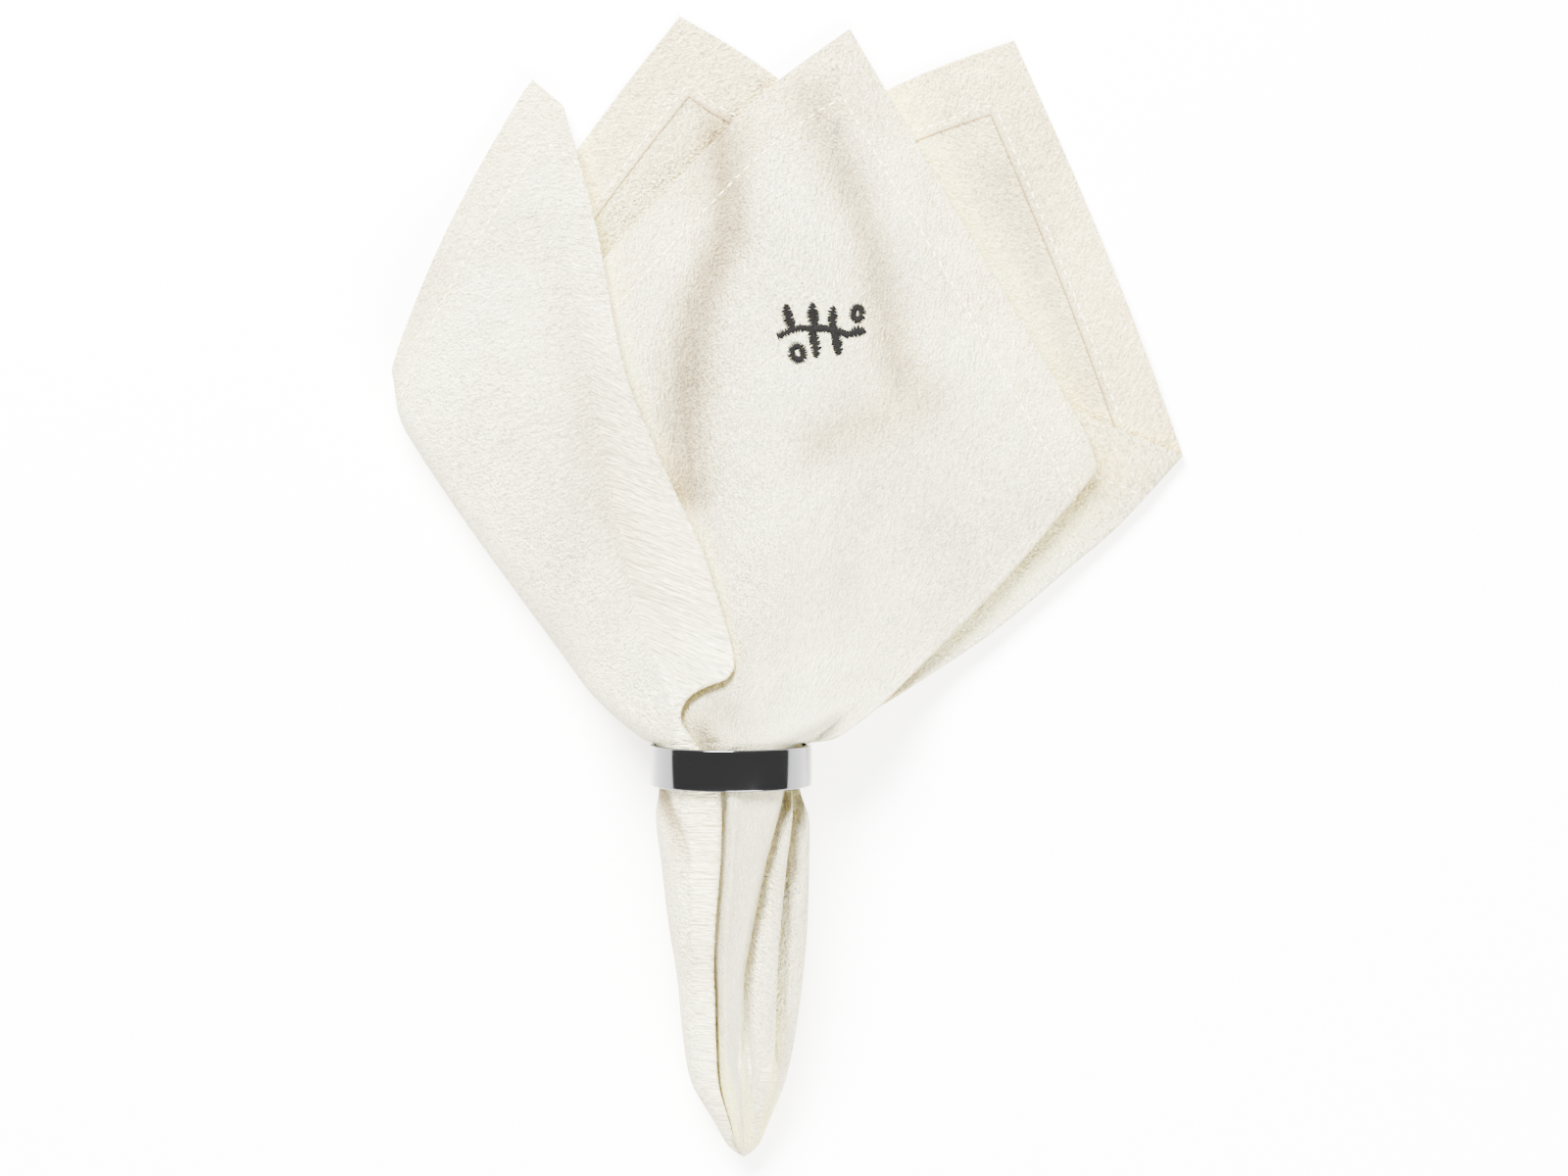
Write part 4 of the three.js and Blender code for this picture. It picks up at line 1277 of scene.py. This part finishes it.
# %% [markdown]
# ## The polished ring
# A flat steel band, rolled and closed. Its section is a slim rectangle whose four edges are rounded
# first, and it is then spun round the ring's axis in one turn. The rounded edges matter more than
# their size suggests: each mirrors a wide sweep of the room in a thin bright rim. Real polish is never
# blank: very fine hairlines run round the band, and handling leaves a few faint duller patches.

# %% Ring mesh
RING_EDGE = 0.42
RING_STEPS = 144

bm = bmesh.new()
made = bmesh.ops.create_grid(bm, x_segments=1, y_segments=1, size=0.5)
bmesh.ops.scale(bm, verts=made["verts"], vec=(RING_WALL * MM, RING_HEIGHT * MM, 1))
bmesh.ops.delete(bm, geom=bm.faces[:], context="FACES_ONLY")
bmesh.ops.translate(bm, verts=bm.verts[:], vec=((RING_OUTER - RING_WALL / 2) * MM, 0, 0))
bmesh.ops.bevel(bm, geom=bm.verts[:], offset=RING_EDGE * MM, segments=4, profile=0.5,
                affect="VERTICES", material=-1)
bmesh.ops.spin(bm, geom=bm.verts[:] + bm.edges[:], cent=(0, 0, 0), axis=(0, 1, 0), angle=math.tau,
               steps=RING_STEPS, use_merge=True)
bmesh.ops.rotate(bm, verts=bm.verts[:], cent=(0, 0, 0), matrix=Matrix.Rotation(RING_TILT, 3, "X"))
bmesh.ops.translate(bm, verts=bm.verts[:], vec=place(tuple(RING_MIDDLE)))
bmesh.ops.recalc_face_normals(bm, faces=bm.faces[:])
for face in bm.faces:
    face.smooth = True
ring_mesh = bpy.data.meshes.new("napkin_ring")
bm.to_mesh(ring_mesh)
bm.free()
ring = bpy.data.objects.new("napkin_ring", ring_mesh)
bpy.context.collection.objects.link(ring)
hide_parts("ring")
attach(ring, "root")
print("ring faces:", len(ring_mesh.polygons), "height", round(ring.dimensions.z / MM, 1), "mm")

# %% Ring material
STEEL = (0.077, 0.077, 0.079, 1)
STEEL_ROUGHNESS = (0.05, 0.12)


def polished_steel():
    material, nodes, links, shader = new_material("polished_steel")
    where = nodes.new("ShaderNodeTexCoord")
    shader.inputs["Base Color"].default_value = STEEL
    shader.inputs["Metallic"].default_value = 1.0
    smudges = noise_node(nodes, links, where.outputs["Object"], 90, 3.0)
    hairlines = noise_node(nodes, links, where.outputs["Object"], 900, 2.0, (0.06, 3.0, 0.06))
    polish = map_range(nodes, links, smudges, 0.3, 0.75, *STEEL_ROUGHNESS)
    links.new(polish, shader.inputs["Roughness"])
    bump = nodes.new("ShaderNodeBump")
    bump.inputs["Strength"].default_value = 0.15
    bump.inputs["Distance"].default_value = 0.01 * MM
    links.new(hairlines, bump.inputs["Height"])
    links.new(bump.outputs["Normal"], shader.inputs["Normal"])
    return material


ring_mesh.materials.append(polished_steel())

# %% [markdown]
# ## Floor, light and camera
# The napkin lies on a plain white surface. The polished ring shows what is around it: the room above
# is dark, so most of the band is dark, and only its flanks mirror the white table. So the lamps are
# two wide soft boxes beyond the fan and beyond the tail, where the band can't see them. The room is
# dim overhead, with pale screens at the two ends that light the band's rounded edges. The camera
# hangs well above the middle of the napkin and looks straight down.

# %% Floor
FLOOR_SIZE = 6.0
FLOOR_GLOW = 1.8
bm = bmesh.new()
bmesh.ops.create_grid(bm, x_segments=1, y_segments=1, size=FLOOR_SIZE / 2)
floor_mesh = bpy.data.meshes.new("floor")
bm.to_mesh(floor_mesh)
bm.free()
floor = bpy.data.objects.new("floor", floor_mesh)
bpy.context.collection.objects.link(floor)
floor_white, _, _, floor_shader = new_material("floor_white")
floor_shader.inputs["Base Color"].default_value = (0.93, 0.93, 0.93, 1)
floor_shader.inputs["Emission Color"].default_value = (1, 1, 1, 1)
floor_shader.inputs["Emission Strength"].default_value = FLOOR_GLOW
floor_shader.inputs["Roughness"].default_value = 0.9
floor_mesh.materials.append(floor_white)

# %% Lamps
def soft_box(name, where, size, power, aim=(0, 0, 0.01)):
    lamp = bpy.data.lights.new(name, "AREA")
    lamp.shape = "RECTANGLE"
    lamp.size, lamp.size_y = size
    lamp.energy = power
    holder = bpy.data.objects.new(name, lamp)
    holder.location = where
    holder.rotation_euler = (Vector(aim) - Vector(where)).to_track_quat("-Z", "Y").to_euler()
    bpy.context.collection.objects.link(holder)


soft_box("key_beyond_fan", (-0.35, 1.0, 1.05), (0.9, 0.6), 325)
soft_box("fill_beyond_tail", (0.45, -1.1, 1.0), (1.2, 0.7), 160)
ROOM_OVERHEAD = 0.60  # what the band mirrors
ROOM_ENDS = 1.8  # pale screens beyond the fan and beyond the tail
SCREENS_FROM = (0.3, 0.6)  # how far a direction leans to either end where the screens begin and are full
world = bpy.context.scene.world or bpy.data.worlds.new("room")
bpy.context.scene.world = world
world.use_nodes = True
nodes, links = world.node_tree.nodes, world.node_tree.links
background = nodes.get("Background") or nodes.new("ShaderNodeBackground")
background.inputs["Color"].default_value = (1, 1, 1, 1)
where = nodes.new("ShaderNodeTexCoord")
split = nodes.new("ShaderNodeSeparateXYZ")
links.new(where.outputs["Generated"], split.inputs["Vector"])
beside = math_node(nodes, links, "ABSOLUTE", split.outputs["Y"])
bright = map_range(nodes, links, beside, *SCREENS_FROM, ROOM_OVERHEAD, ROOM_ENDS)
links.new(bright, background.inputs["Strength"])

# %% Camera
CAMERA_HEIGHT = 1.5
PIXELS_PER_MM = 4.1  # in the photograph, at the height of the fan
IMAGE_WIDTH = 1600
SENSOR = 36.0
FAN_HEIGHT = 0.005
camera_data = bpy.data.cameras.new("camera")
camera_data.sensor_width = SENSOR
seen_width = IMAGE_WIDTH / PIXELS_PER_MM * MM
camera_data.lens = SENSOR * (CAMERA_HEIGHT - FAN_HEIGHT) / seen_width
camera = bpy.data.objects.new("camera", camera_data)
middle_px, rim_px = (800, 600), (746, 757)  # image middle, and the middle of the ring's upper rim
across_mm = (middle_px[0] - rim_px[0]) / PIXELS_PER_MM
up_mm = (rim_px[1] - middle_px[1]) / PIXELS_PER_MM
above = place((across_mm, up_mm, 0.0))
camera.location = (above[0], above[1], CAMERA_HEIGHT)
bpy.context.collection.objects.link(camera)
bpy.context.scene.camera = camera
print("camera over", [round(v, 4) for v in above], "lens", round(camera_data.lens, 1), "mm")
